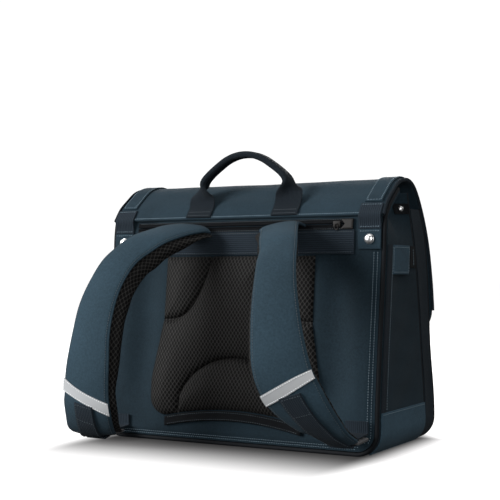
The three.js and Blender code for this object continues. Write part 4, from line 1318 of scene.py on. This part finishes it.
class SATCHEL_OT_body(bpy.types.Operator):
    """Makes the padded back, the front, the gussets, the base and the pipings"""

    bl_idname = "satchel.body"
    bl_label = "Body"

    def execute(self, context):
        # The back panel and the gussets take the canvas darkened with painted shade.
        cloth("back_panel_cloth", 150, 130, back_place, 7.4, "canvas_painted_shade", "back_panel")
        cloth("front_panel_cloth", 110, 90, front_place, 3.4, "canvas", "front_panel")
        for suffix, side in SIDES:
            place = on_side(side, gusset_place)
            cloth("side_gusset_cloth" + suffix, 48, 110, place, 2.3, "canvas_painted_shade", "side_gusset" + suffix)
        base = band_round(CORNER_RADIUS, GUSSET_FROM, GUSSET_TO)
        cloth("base_panel_cloth", 160, 30, base, 2.3, "canvas_dark", "base_panel")
        front = band_round(FRONT_TOP, aside(SEAM_LINE, -SEAM_GAP), aside(FRONT_LINE, SEAM_ROOM))
        cloth("front_gusset_cloth", 220, 14, front, 2.3, "canvas_dark", "front_gusset")
        for name, line, way, top in (
            ("back_piping", BACK_LINE, -1, BACK_TOP - 4),
            ("seam_piping", SEAM_LINE, 1, GUSSET_TOP),
            ("front_piping", FRONT_LINE, 1, FRONT_TOP),
        ):
            path = outline(PIPING_RADIUS, top, 300)
            middle = aside(line, way * PIPING_RADIUS)
            points = np.stack([path[:, 0], y_at(middle, path[:, 1]), path[:, 1]], 1)
            finish(piping(name + "_cord", points, PIPING_RADIUS - 0.1), "trim", name)
        return {"FINISHED"}


PATCH_START, PATCH_SIZE = 15.35, 52
SIDE_PATCH_LOW, SIDE_PATCH_HIGH = 206, 240
SIDE_WEBBING_HEIGHT = 26
STITCH_INSET = 2.6  # of the side stitches from their patch's edge


def fold_tab_place(u, v):
    """The small riveted tab at the top of the right gusset, beside its front seam."""
    return gusset_side(0.985 - (1 - u) * 0.3, 277.3 + v * 12.4, 2.0)


class SATCHEL_OT_side_trim(bpy.types.Operator):
    """Makes the bindings, patches, webbing and tabs on both gussets"""

    bl_idname = "satchel.side_trim"
    bl_label = "Side trim"

    def execute(self, context):
        seams = []
        for suffix, side in SIDES:
            binding = on_side(side, side_strip(CORNER_PATCH_TOP + 0.4, SIDE_PATCH_HIGH, 0, 15, 1.6))
            cloth("gusset_tape" + suffix, 10, 90, binding, 1.3, "binding", "gusset_binding" + suffix)
            patch = on_side(side, side_strip(SIDE_PATCH_LOW, SIDE_PATCH_HIGH, PATCH_START, PATCH_SIZE, 1.6))
            # The side and corner patches take the canvas lightened with painted light.
            cloth("side_cloth" + suffix, 20, 14, patch, 1.3, "canvas_patch_painted_light", "side_patch" + suffix, edge=0.4)
            start, top = PATCH_START + PATCH_SIZE + GAP, SIDE_PATCH_HIGH - GAP
            webbing = on_side(side, to_front_strip(top - SIDE_WEBBING_HEIGHT, top, start, 1.6))
            node = "side_webbing" + suffix
            cloth("side_tape" + suffix, 12, 12, webbing, 1.5, "black_webbing", node, edge=0.4)
            corner = on_side(side, corner_place)
            node = "corner_patch" + suffix
            cloth("corner_cloth" + suffix, 34, 26, corner, 1.4, "canvas_patch_painted_light", node, edge=0.4)
            tab = on_side(side, fold_tab_place)
            cloth("fold_tab" + suffix, 12, 8, tab, 1.3, "black_webbing", "gusset_tab" + suffix, edge=0.3)
            rivet("gusset_stud" + suffix, 3, 1.5, tab, "gusset_rivet" + suffix)

            m, n = STITCH_INSET / PATCH_SIZE, STITCH_INSET / (SIDE_PATCH_HIGH - SIDE_PATCH_LOW)
            seams += [seam(patch, (m, v), (1 - m, v)) for v in (1 - n, n)]
            seams += [seam(patch, (u, n), (u, 1 - n)) for u in (m, 1 - m)]
            edge = STITCH_INSET / 110
            seams += [seam(corner, (edge, v), (1 - edge, v)) for v in (0.045, 0.955)]
            seams += [seam(binding, (0.86, 0.01), (0.86, 0.99)), seam(webbing, (0.5, 0.12), (0.5, 0.88))]
        thread_piece("side_stitches", seams)
        return {"FINISHED"}


def place_turned(piece, seat, normal):
    """Turns a finished shape so that its top looks along normal, and sets it on its seat."""
    pick(piece)
    turn = Vector(normal).normalized().to_track_quat("Z", "Y").to_matrix().to_4x4()
    piece.matrix_world = Matrix.Translation(Vector(seat) * MM) @ turn
    bpy.ops.object.transform_apply(location=True, rotation=True, scale=True)


def rivet(name, radius, rise, place, *nodes):
    """A domed rivet with a turned rim, in the middle of a laid surface."""
    seat, ahead, above = laid(place, np.array([0.5, 0.6, 0.5]), np.array([0.5, 0.5, 0.6]))
    deselect()
    r = radius * MM
    bpy.ops.mesh.primitive_uv_sphere_add(segments=40, ring_count=24, radius=r)
    bpy.ops.object.mode_set(mode="EDIT")
    bpy.ops.mesh.select_all(action="SELECT")
    bpy.ops.mesh.bisect(plane_co=(0, 0, 0), plane_no=(0, 0, 1), clear_inner=True, use_fill=True)
    bpy.ops.mesh.select_all(action="SELECT")
    bpy.ops.transform.resize(value=(0.93, 0.93, rise / radius))
    bpy.ops.object.mode_set(mode="OBJECT")
    dome = named(name + "_dome")
    rim = ring(name + "_rim", 0.92 * r, 0.09 * r, (0, 0, 0.08 * r), 40)
    piece = joined(name, [dome, rim])
    place_turned(piece, seat, np.cross(ahead - seat, above - seat))
    return finish(piece, "steel", *nodes)


def ring(name, radius, thickness, spot, segments, turn=(0, 0, 0)):
    """A round ring of wire, in metres."""
    deselect()
    bpy.ops.mesh.primitive_torus_add(
        major_radius=radius,
        minor_radius=thickness,
        major_segments=segments,
        minor_segments=10,
        location=spot,
        rotation=turn,
    )
    return named(name)


EDGE_MARGIN = 2.4  # of the slanted row from the flap's back edge


def flap_edge_place(u, v):
    """The tape round the flap's right edge."""
    run = v * (FLAP_RUN - FLAP_CORNER)
    turn = (0.5 - u) * math.pi * 1.25
    lift = -FLAP_WALL / 2 + (FLAP_WALL / 2 + 0.5) * np.sin(turn)
    _, y, z = flap_at(0 * run, run, 0.9 + lift)
    return FLAP_WIDTH / 2 + GAP + 2.4 * np.maximum(np.cos(turn), -0.1), y, z


class SATCHEL_OT_flap(bpy.types.Operator):
    """Makes the flap with its bindings, corner strips, webbing tabs, rivets and clasp"""

    bl_idname = "satchel.flap"
    bl_label = "Flap"

    def execute(self, context):
        # The flap takes the canvas darkened with painted shade.
        cloth("flap_cloth", 130, 170, flap_place, 3.6, "canvas_flap_painted_shade", "flap", edge=0.8)
        v = EDGE_MARGIN / FLAP_RUN
        row = seam(flap_place, (0.045, v), (0.955, v), count=500)
        thread_piece("flap_edge_stitches", [row], slant=32, thick=0.6)
        seams = []
        for suffix, side in SIDES:
            tape = on_side(side, flap_edge_place)
            cloth("flap_tape" + suffix, 10, 170, tape, 0.7, "binding", "flap_binding" + suffix)
            low, high = STRIP_OFFSET - STRIP_WIDTH / 2, STRIP_OFFSET + STRIP_WIDTH / 2
            strip = on_side(side, flap_strip(low, high, STRIP_START, STRIP_START + STRIP_LENGTH, 1.9))
            node = "corner_strip" + suffix
            cloth("corner_cloth_strip" + suffix, 14, 150, strip, 1.5, "canvas_flap_painted_shade", node, edge=0.4)
            m = 2.2 / STRIP_WIDTH
            seams += [seam(strip, (u, 0.006), (u, 0.994), count=600) for u in (m, 1 - m)]
            seams.append(seam(strip, (m, 0.008), (1 - m, 0.008)))
            tab = on_side(side, tab_place)
            cloth("tab_tape" + suffix, 24, 22, tab, 1.4, "webbing", "tab_webbing" + suffix, edge=0.3)
            seams += [seam(tab, (0.06, v), (0.94, v)) for v in (0.93, 0.07)]
            x0, x1 = STRIP_OFFSET - TAB_WIDTH / 2, STRIP_OFFSET + TAB_WIDTH / 2
            patch = on_side(side, back_strip(x0, x1, ZIP_FOOT - PATCH_HEIGHT, ZIP_FOOT, 2.0))
            node = "rivet_patch" + suffix
            cloth("rivet_cloth" + suffix, 16, 14, patch, 1.5, "canvas_flap_painted_shade", node, edge=0.4)
            seams.append(seam(patch, (0.06, 0.9), (0.94, 0.9)))
            rivet("rivet_dome" + suffix, 6, 2.9, patch, "rivet" + suffix)
        thread_piece("flap_stitches", seams, slant=32)
        make_clasp()
        return {"FINISHED"}


CLASP_LOW, CLASP_HIGH, CLASP_HALF = 102.5, 123.5, 16.6


def clasp_place(u, v):
    """The face of the clasp's plate, with a raised round catch in its middle."""
    z = CLASP_LOW + v * (CLASP_HIGH - CLASP_LOW)
    x = (1 - 2 * u) * CLASP_HALF
    near = np.minimum(np.minimum(u, 1 - u) * 33, np.minimum(v, 1 - v) * 21)
    catch = step_up(7 - np.hypot(x, (z - 112)), 0, 2.4)
    dish = 0.5 * step_up(near, 2, 4)
    return x, y_at(FRONT_LINE, z) + 3.7 + 1.4 * catch - dish * (1 - catch), z


def make_clasp():
    """The clasp under the flap's front edge."""
    piece = lay_grid("clasp_plate", 60, 40, clasp_place)
    modify(piece, "SOLIDIFY", thickness=3 * MM, offset=-1)
    soften(piece, 0.8, 3, 60)
    finish(piece, "steel", "flap_clasp")


def handle_line():
    """Places along the carry handle from its left end to its right, and how far each is folded."""
    x, y, z = flap_at(np.full(3, HANDLE_SPACING / 2), np.array([0.8, 8, 16]), GAP)
    legs = [(*spot, 0) for spot in zip(x, y, z)]
    arch = [
        (out * HANDLE_SPACING / 2, back * HALF_DEPTH, z[-1] + rise * HANDLE_RISE, fold)
        for out, back, rise, fold in HANDLE_ARCH
    ]
    half = legs + arch
    mirrored = [(-x, y, z, fold) for x, y, z, fold in half[:-1]]
    return smooth(mirrored + half[::-1], 220, 3)


HANDLE = handle_line()


def handle_place(u, v):
    """The handle's webbing: flat on the flap, rolled under at both edges in the hand part."""
    run = run_of(HANDLE[:, :3])
    at = v * run[-1]
    spot = at_run(HANDLE, at)
    place, fold = spot[..., :3], np.clip(spot[..., 3], 0, 1)[..., None]
    after, before = (at_run(HANDLE[:, :3], np.clip(at + step, 0, run[-1])) for step in (1, -1))
    along = (after - before) / np.linalg.norm(after - before, axis=-1, keepdims=True)
    hand = np.cross(along, np.array([0.0, 1, 0]))
    side = np.where(place[..., :1] < 0, 1.0, -1.0) * np.array([1.0, 0, 0])
    up = np.cross(side, along) * (1 - fold) + hand * fold
    up -= along * np.sum(up * along, -1, keepdims=True)
    up /= np.linalg.norm(up, axis=-1, keepdims=True)
    across = np.cross(along, up)
    s = (2 * u - 1) * HANDLE_WIDTH / 2
    beyond = np.clip((np.abs(s) - HANDLE_FLAT) / HANDLE_BEND, 0, 1)
    tail = np.clip(np.abs(s) - HANDLE_FLAT - HANDLE_BEND, 0, None)
    rolled = math.pi * fold[..., 0]
    curl = math.pi * np.maximum(fold[..., 0], 1e-3)
    turn, reach = beyond * curl, HANDLE_BEND / curl
    offset = np.minimum(np.abs(s), HANDLE_FLAT) + reach * np.sin(turn) + tail * np.cos(rolled)
    drop = reach * (1 - np.cos(turn)) + tail * np.sin(rolled)
    rise = 2 + 7.5 * fold[..., 0] - np.minimum(drop, HANDLE_DROP)
    spot = place + across * (np.sign(s) * offset)[..., None] + up * rise[..., None]
    return np.moveaxis(spot, -1, 0)


class SATCHEL_OT_handle(bpy.types.Operator):
    """Makes the carry handle"""

    bl_idname = "satchel.handle"
    bl_label = "Carry handle"

    def execute(self, context):
        # The handle takes the webbing darkened with painted shade.
        cloth("carry_webbing", 48, 200, handle_place, 1.5, "handle", "carry_handle", edge=0.3)
        ends = (0.012, 1 - 0.012, 0.036, 1 - 0.036)
        seams = [seam(handle_place, (0.06, v), (0.94, v)) for v in ends]
        thread_piece("handle_stitches", seams, "dark_thread")
        return {"FINISHED"}


def zip_tape_place(low, high, coil_up):
    """A zip tape between two heights, whose inner edge swells over its coil."""
    flat = back_strip(-ZIP_LENGTH / 2, ZIP_LENGTH / 2, low, high, 1.3)

    def place(u, v):
        near = v if coil_up else 1 - v
        x, y, z = flat(u, v)
        return x, y - 0.9 * np.exp(-(((near - 0.84) / 0.13) ** 2)), z

    return place


def end_tab_place(u, v):
    """The tab over the zip's end, cut to a blunt arrow towards the slider."""
    half = ZIP_LENGTH / 2
    x0 = half - GARAGE + 5 * (1 - np.abs(2 * v - 1)) * (1 - u)
    z = ZIP_FOOT + ZIP_GAP + v * (ZIP_TOP - ZIP_FOOT - 2 * ZIP_GAP)
    near = np.minimum(np.minimum(u * 15, (1 - u) * 15), np.minimum(v, 1 - v) * 11)
    return x0 + u * (half - x0), y_at(aside(BACK_LINE, 2.9), z) - 0.5 * step_up(near, 0, 1.5), z


class SATCHEL_OT_zip(bpy.types.Operator):
    """Makes the zip with its tapes, teeth, slider and end tab, and the anchor band under it"""

    bl_idname = "satchel.zip"
    bl_label = "Zip and anchor band"

    def execute(self, context):
        middle = ZIP_TOP - ZIP_TAPE - ZIP_GAP / 2
        upper = zip_tape_place(middle + ZIP_GAP / 2, ZIP_TOP, False)
        lower = zip_tape_place(ZIP_FOOT, middle - ZIP_GAP / 2, True)
        cloth("zip_cloth_upper", 300, 14, upper, 0.9, "zip", "zip_tape_upper")
        cloth("zip_cloth_lower", 300, 14, lower, 0.9, "zip", "zip_tape_lower")
        seams = [seam(lower, (0.01, 0.16), (0.99, 0.16)), seam(upper, (0.01, 0.84), (0.99, 0.84))]
        thread_piece("zip_stitches", seams, "dark_thread", "black_trim")
        cloth("zip_end_tab", 24, 20, end_tab_place, 0.9, "rubber", "zip_garage", edge=0.2)
        make_slider(ZIP_LENGTH / 2 - GARAGE - 5, middle)
        across = BAND_LENGTH / 2
        band = back_strip(-across, across, BAND_TOP - BAND_HEIGHT, BAND_TOP, GAP + TAPE_WALL)
        cloth("anchor_webbing", 300, 26, band, 1.4, "band", "anchor_band", edge=0.3)
        seams = [seam(band, (0.008, v), (0.992, v)) for v in (0.075, 0.925)]
        thread_piece("band_stitches", seams, "dark_thread")
        return {"FINISHED"}


def make_slider(x, z):
    """The zip slider: a bevelled body with a bridge, and a pull that hangs from it."""
    y = y_at(aside(BACK_LINE, 2.2), z)
    deselect()
    bpy.ops.mesh.primitive_cube_add(
        size=1, location=(x * MM, (y - 0.9) * MM, z * MM), scale=(9 * MM, 2.2 * MM, 7 * MM)
    )
    body = named("slider_body")
    bpy.ops.object.transform_apply(location=True, rotation=False, scale=True)
    modify(body, "BEVEL", width=0.7 * MM, segments=3)
    bridge = ring("slider_bridge", 1.7 * MM, 0.5 * MM, (x * MM, (y - 2) * MM, z * MM), 24)
    bpy.ops.object.transform_apply(location=True, rotation=True, scale=True)
    hang = (x * MM, (y - 2.9) * MM, (z - 3.4) * MM)
    pull = ring("slider_pull", 2.6 * MM, 0.6 * MM, hang, 24, (math.pi / 2, 0, 0))
    bpy.ops.transform.resize(value=(0.8, 1, 1.3))
    bpy.ops.object.transform_apply(location=True, rotation=True, scale=True)
    finish(joined("slider", [body, bridge, pull]), "rubber", "zip_slider", slot="plastic")


class SATCHEL_OT_pads(bpy.types.Operator):
    """Makes the mesh pads on the back and the binding under them"""

    bl_idname = "satchel.pads"
    bl_label = "Mesh pads"

    def execute(self, context):
        crown = context.scene.satchel_sizes.pad_crown / MM
        side, arch, inner = PAD_FOOT_SIDE, 0.96 * ARCH_HALF, PAD_INNER + 3
        for name, node, columns, rows, x0, x1, foot, head in (
            ("centre_pad", "mesh_pad_centre", 130, 96, -side, side, centre_foot, centre_head),
            ("bottom_pad", "mesh_pad_bottom", 90, 50, -arch, arch, arch_foot, arch_at),
            ("upper_pad_right", "mesh_pad_upper_right", 60, 60, inner, PAD_SIDE, upper_foot, upper_head),
            ("upper_pad_left", "mesh_pad_upper_left", 60, 60, -PAD_SIDE, -inner, upper_foot, upper_head),
        ):
            place = pad_place(x0, x1, foot, head, crown)
            piece = cloth(name, columns, rows, place, 1.2, "mesh", node)
            spots = places_of(piece) / MM
            swell(piece, y_at(BACK_LINE, spots[:, 2]) - spots[:, 1] < PINNED_EDGE)
        cloth("pad_backing", 90, 60, backing_place, 0.4, "mesh")
        cloth("pad_tape", 90, 12, binding_place, 1.5, "black_webbing", "pad_binding", edge=0.3)
        seams = [seam(binding_place, (0.02, v), (0.98, v)) for v in (0.16, 0.84)]
        thread_piece("pad_stitches", seams, "dark_thread", "black_trim")
        high = panel_share(232, BACK_TOP)
        rows = []
        for inset in (4.2, 8.4):
            edge = inset / (2 * HALF)
            rows += [seam(back_place, (u, 0.1), (u, high)) for u in (edge, 1 - edge)]
        rows += [seam(back_place, (0.03, v), (0.97, v), count=500) for v in (0.048, 0.072)]
        thread_piece("back_stitches", rows)
        return {"FINISHED"}


REFLECTOR_SHARE, REFLECTOR_SKEW, REFLECTOR_HEIGHT = 0.2, -17, 14
SEWN_DEPTH = 2.5  # how deep under the shell the lining is held by its seam


def under_shell(lining, side):
    """Marks the places of a strap's lining that are sewn to the shell above it."""
    strap = STRAPS[side]
    spots = places_of(lining) / MM * np.array([side, 1, 1])
    nearest = np.linalg.norm(spots[:, None] - strap["place"][None, ::4], axis=2).argmin(1) * 4
    height = np.sum((spots - strap["place"][nearest]) * strap["up"][nearest], axis=1)
    return height > -SHELL_WALL - SEAM_GAP - SEWN_DEPTH


class SATCHEL_OT_straps(bpy.types.Operator):
    """Makes both shoulder straps with lining, reflective band, webbing and buckle"""

    bl_idname = "satchel.straps"
    bl_label = "Shoulder straps"

    def execute(self, context):
        for suffix, side in SIDES:
            strap = STRAPS[side]
            shell = on_side(side, shell_place(side))
            node = "strap_shell" + suffix
            # The strap shell takes the canvas lightened with painted light.
            cloth("strap_canvas" + suffix, 40, 170, shell, 2.6, "canvas_strap_painted_light", node, edge=0.5)
            lining = lay_grid("strap_mesh" + suffix, 56, 170, on_side(side, lining_place(side)))
            close_up(lining)
            swell(lining, under_shell(lining, side))
            finish(lining, "lining", "strap_lining" + suffix)
            first, second = (np.array(strap_spot(*row[:3])) for row in STRAP_LOWER[side][:2])
            target = first + REFLECTOR_SHARE * (second - first)
            start = strap["run"][np.argmin(np.linalg.norm(strap["place"] - target, axis=1))]
            middle = start + REFLECTOR_HEIGHT / 2
            band = on_side(side, reflector_place(side, middle, REFLECTOR_SKEW, REFLECTOR_HEIGHT))
            node = "reflective_band" + suffix
            cloth("reflective_tape" + suffix, 40, 8, band, 0.5, "reflector", node)
            tape = on_side(side, webbing_on_strap(side, start + REFLECTOR_HEIGHT + 1.5))
            cloth("strap_tape" + suffix, 20, 90, tape, 1.4, "webbing", "strap_webbing" + suffix, edge=0.3)
            seams = [seam(band, (0.02, v), (0.98, v)) for v in (0.1, 0.9)]
            thread_piece("band_stitches" + suffix, seams, "pale_thread", thick=0.5)
            edge = 3.2 / 60
            seams = [seam(shell, (u, 0.04), (u, 0.985), count=500) for u in (edge, 1 - edge)]
            seams += [seam(tape, (u, 0.02), (u, 0.98)) for u in (0.08, 0.92)]
            seams += [seam(tape, (0.08, v), (0.92, v)) for v in (0.03, 0.3)]
            thread_piece("strap_stitches" + suffix, seams, "dark_thread")
            make_buckle(suffix, side)
        return {"FINISHED"}


def close_up(piece):
    """Joins the seam of a round and closes its ends, and turns its faces outwards."""
    pick(piece)
    bpy.ops.object.mode_set(mode="EDIT")
    bpy.ops.mesh.select_all(action="SELECT")
    bpy.ops.mesh.remove_doubles(threshold=0.00002)
    bpy.ops.mesh.select_all(action="DESELECT")
    bpy.ops.mesh.select_mode(type="EDGE")
    bpy.ops.mesh.select_non_manifold(extend=False)
    bpy.ops.mesh.fill_holes(sides=0)
    bpy.ops.mesh.select_all(action="SELECT")
    bpy.ops.mesh.normals_make_consistent(inside=False)
    bpy.ops.mesh.select_mode(type="VERT")
    bpy.ops.object.mode_set(mode="OBJECT")


BUCKLE_WALL, BUCKLE_BAR, BUCKLE_SIDE_ROOM, BUCKLE_STANDOFF = 3.6, 4, 1.5, 22
UPPER_SLOT, LOWER_SLOT = 8, 7
WEBBING_OFF_BAR = GAP + 0.8  # the middle of the webbing's wall from the bar that it passes


def make_buckle(suffix, side):
    """The ladder buckle at a strap's end, with the webbing that runs round its bars."""
    strap = STRAPS[side]
    e, n = strap["out"], strap["up"][-1]
    across = np.cross(n, e)
    origin = strap["end"] + BUCKLE_STANDOFF * e - BUCKLE_WALL / 2 * n
    flip = np.array([side, 1, 1])

    def put(a, b, c):
        """A place in the buckle's own plane: along, above, across."""
        spot = origin + np.multiply.outer(a, e) + np.multiply.outer(b, n) + np.multiply.outer(c, across)
        return np.moveaxis(spot * flip, -1, 0)

    bar = BUCKLE_BAR
    up_bar, low_bar = -bar / 2 - UPPER_SLOT, bar / 2 + LOWER_SLOT
    half = WEBBING_WIDTH / 2 + BUCKLE_SIDE_ROOM
    xs = np.array([-half - bar, -half, -half / 3, half / 3, half, half + bar])
    ys = np.array([up_bar - bar, up_bar, -bar / 2, bar / 2, low_bar, low_bar + bar])

    def frame_place(u, v):
        """The corners of the frame's bars."""
        return put(ys[np.rint(v * 5).astype(int)], 0 * u, xs[np.rint(u * 5).astype(int)])

    piece = lay_grid("buckle_frame" + suffix, 5, 5, frame_place)
    pick(piece)
    bpy.ops.object.mode_set(mode="EDIT")
    bpy.ops.mesh.select_mode(type="FACE")
    bpy.ops.mesh.select_all(action="DESELECT")
    bpy.ops.object.mode_set(mode="OBJECT")
    for face in piece.data.polygons:
        spot = (np.array(face.center) / MM) * flip - origin
        a, c = spot @ e, spot @ across
        face.select = bool(abs(c) < half and (up_bar < a < -bar / 2 or bar / 2 < a < low_bar))
    bpy.ops.object.mode_set(mode="EDIT")
    bpy.ops.mesh.delete(type="FACE")
    bpy.ops.mesh.select_mode(type="VERT")
    bpy.ops.object.mode_set(mode="OBJECT")
    modify(piece, "SOLIDIFY", thickness=BUCKLE_WALL * MM, offset=0)
    soften(piece, 0.9, 3, 40)
    modify(piece, "SUBSURF", levels=2, render_levels=2)
    turn_out(piece)
    finish(piece, "plastic", "strap_buckle" + suffix)

    def tape(name, line, *nodes):
        """Webbing that follows a line in the buckle's plane, rounded at its turns."""
        path = rounded(np.array(line, float), 1.6)
        run = run_of(path)

        def place(u, v):
            spot = at_run(path, v * run[-1])
            return put(spot[..., 0], spot[..., 1], (0.5 - u) * WEBBING_WIDTH)

        piece = lay_grid(name, 16, 60, place)
        modify(piece, "SOLIDIFY", thickness=1.5 * MM, offset=0)
        turn_out(piece)
        finish(piece, "webbing", *nodes)

    face = BUCKLE_WALL / 2 + WEBBING_OFF_BAR
    turn = up_bar + WEBBING_OFF_BAR
    line = [
        (up_bar - bar - 6, face + 1.6),
        (up_bar - bar, face + 0.4),
        (turn, face),
        (turn, -face),
        (up_bar - bar - 4, -face),
    ]
    tape("buckle_loop" + suffix, line)
    back = (strap["anchor"] - origin) @ e - WEBBING_OFF_BAR
    low_turn = -bar / 2 - WEBBING_OFF_BAR
    line = [
        (back, -face - 14),
        (back, -face),
        (low_turn, -face),
        (low_turn, face),
        (low_bar + bar, face),
        (low_bar + 2.5 * bar, face + bar / 2),
    ]
    tape("lower_tape" + suffix, line, "lower_webbing" + suffix)


def rounded(line, radius):
    """A line whose corners are rounded."""
    out = [line[0]]
    for before, here, after in zip(line[:-2], line[1:-1], line[2:]):
        a, b = before - here, after - here
        reach = min(radius * 1.4, np.linalg.norm(a) * 0.45, np.linalg.norm(b) * 0.45)
        a, b = a / np.linalg.norm(a) * reach, b / np.linalg.norm(b) * reach
        for t in np.linspace(0, 1, 7):
            out.append(here + a * (1 - t) ** 2 + b * t**2)
    out.append(line[-1])
    return np.array(out)


# Stage

# The photograph's camera, level, fitted to the satchel's outline: metres, degrees and millimetres
CAMERA_PLACE, CAMERA_TURN, CAMERA_LENS, CAMERA_SHIFT = (0.6836, -1.2534, 0.2061), 29.51, 81.03, 0.0486
# The soft shadow painted on the paper: half the satchel's foot, and how far the painted shade fades from it,
# in metres
SHADOW_HALF, SHADOW_FRONT = 0.165, 0.085
SHADOW_SIDE_FADE, SHADOW_FRONT_FADE = 0.055, 0.24


class SATCHEL_OT_stage(bpy.types.Operator):
    """Lays the floor and sets the lights and the camera"""

    bl_idname = "satchel.stage"
    bl_label = "Stage"

    def execute(self, context):
        deselect()
        bpy.ops.mesh.primitive_grid_add(x_subdivisions=24, y_subdivisions=24, size=60)
        floor = named("floor")
        floor.data.materials.clear()
        floor.data.materials.append(paper())

        world = context.scene.world or bpy.data.worlds.new("World")
        context.scene.world = world
        world.use_nodes = True
        sky = world.node_tree.nodes["Background"]
        n = Nodes(world.node_tree)
        seen = n.add("ShaderNodeLightPath").outputs["Is Camera Ray"]
        n.tree.links.new(n.math("ADD", n.math("MULTIPLY", seen, 1.0), 0.07), sky.inputs["Strength"])
        sky.inputs["Color"].default_value = (1, 1, 1, 1)
        lamps = (
            ("Key", (-2.0, -2.05, 1.2), (0, 0, 0.2), 1.5, 158),
            ("Top", (0.1, -0.2, 2.6), (0, 0, 0), 2.6, 34),
            ("Rim", (1.6, 1.6, 1.5), (0, 0, 0.2), 1.6, 14),
            ("Behind", (-0.9, 2.6, 1.3), (0, 0, 0.15), 1.8, 70),
            ("Side", (1.7, -2.1, 0.6), (0.1, 0, 0.12), 1.2, 30),
        )
        for name, spot, target, size, power in lamps:
            deselect()
            bpy.ops.object.light_add(type="AREA", location=spot)
            lamp = context.object
            lamp.name = name + "_light"
            lamp.data.shape = "SQUARE"
            lamp.data.size = size
            lamp.data.energy = power
            lamp.rotation_euler = (Vector(target) - Vector(spot)).to_track_quat("-Z", "Y").to_euler()
        context.scene.view_settings.view_transform = "Standard"

        deselect()
        turn = (math.pi / 2, 0, math.radians(CAMERA_TURN))
        bpy.ops.object.camera_add(location=CAMERA_PLACE, rotation=turn)
        camera = context.object
        camera.name = "camera"
        camera.data.sensor_width = 36
        camera.data.lens = CAMERA_LENS
        camera.data.shift_y = CAMERA_SHIFT
        context.scene.camera = camera
        return {"FINISHED"}


def paper():
    """White studio paper, with a soft shadow painted where the satchel stands and towards its harness side.
    """
    made = bpy.data.materials.new("Paper")
    made.use_nodes = True
    n = Nodes(made.node_tree)
    shader = made.node_tree.nodes["Principled BSDF"]
    seen = n.add("ShaderNodeLightPath").outputs["Is Camera Ray"]
    x, y = n.split(n.add("ShaderNodeTexCoord").outputs["Object"])
    beside = n.math("MAXIMUM", n.math("SUBTRACT", n.math("ABSOLUTE", x), SHADOW_HALF), 0.0)
    before = n.math("MAXIMUM", n.math("SUBTRACT", n.math("MULTIPLY", y, -1.0), SHADOW_FRONT), 0.0)
    behind = n.math("MAXIMUM", n.math("SUBTRACT", y, SHADOW_FRONT), 0.0)
    sides = n.math("DIVIDE", n.math("ADD", beside, behind), SHADOW_SIDE_FADE)
    front = n.math("DIVIDE", before, SHADOW_FRONT_FADE)
    away = n.math("SQRT", n.math("ADD", n.math("MULTIPLY", sides, sides), n.math("MULTIPLY", front, front)))
    # The painted shadow's brightness: 0.03 at the satchel's foot, 1 away from it.
    light = n.add(
        "ShaderNodeMapRange",
        {"Value": away, "From Min": 0.0, "From Max": 1.0, "To Min": 0.03, "To Max": 1.0},
        interpolation_type="SMOOTHSTEP",
    ).outputs[0]
    face = n.blend(light, (0.02, 0.02, 0.02, 1), (0.4, 0.4, 0.4, 1))
    n.tree.links.new(n.blend(seen, (0.1, 0.1, 0.1, 1), face), shader.inputs["Base Color"])
    n.tree.links.new(n.math("MULTIPLY", seen, light), shader.inputs["Emission Strength"])
    shader.inputs["Emission Color"].default_value = (1, 0.985, 0.985, 1)
    shader.inputs["Roughness"].default_value = 1
    shader.inputs["Specular IOR Level"].default_value = 0
    return made


OPERATORS = (
    SATCHEL_OT_finishes,
    SATCHEL_OT_body,
    SATCHEL_OT_side_trim,
    SATCHEL_OT_flap,
    SATCHEL_OT_handle,
    SATCHEL_OT_zip,
    SATCHEL_OT_pads,
    SATCHEL_OT_straps,
    SATCHEL_OT_stage,
)


class SATCHEL_PT_panel(bpy.types.Panel):
    """Lists the satchel's sizes, colours and steps"""

    bl_idname = "SATCHEL_PT_panel"
    bl_label = "School satchel"
    bl_space_type = "VIEW_3D"
    bl_region_type = "UI"
    bl_category = "Satchel"

    def draw(self, context):
        for group in (context.scene.satchel_sizes, context.scene.satchel_colours):
            for key in group.__annotations__:
                self.layout.prop(group, key)
        for kind in OPERATORS:
            self.layout.operator(kind.bl_idname)


CLASSES = (SatchelSizes, SatchelColours, *OPERATORS, SATCHEL_PT_panel)


def register():
    for kind in CLASSES:
        bpy.utils.register_class(kind)
    bpy.types.Scene.satchel_sizes = bpy.props.PointerProperty(type=SatchelSizes)
    bpy.types.Scene.satchel_colours = bpy.props.PointerProperty(type=SatchelColours)


def unregister():
    del bpy.types.Scene.satchel_sizes
    del bpy.types.Scene.satchel_colours
    for kind in reversed(CLASSES):
        bpy.utils.unregister_class(kind)


def main():
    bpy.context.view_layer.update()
    register()
    for kind in OPERATORS:
        group, name = kind.bl_idname.split(".")
        getattr(getattr(bpy.ops, group), name)()


if __name__ == "__main__":
    main()
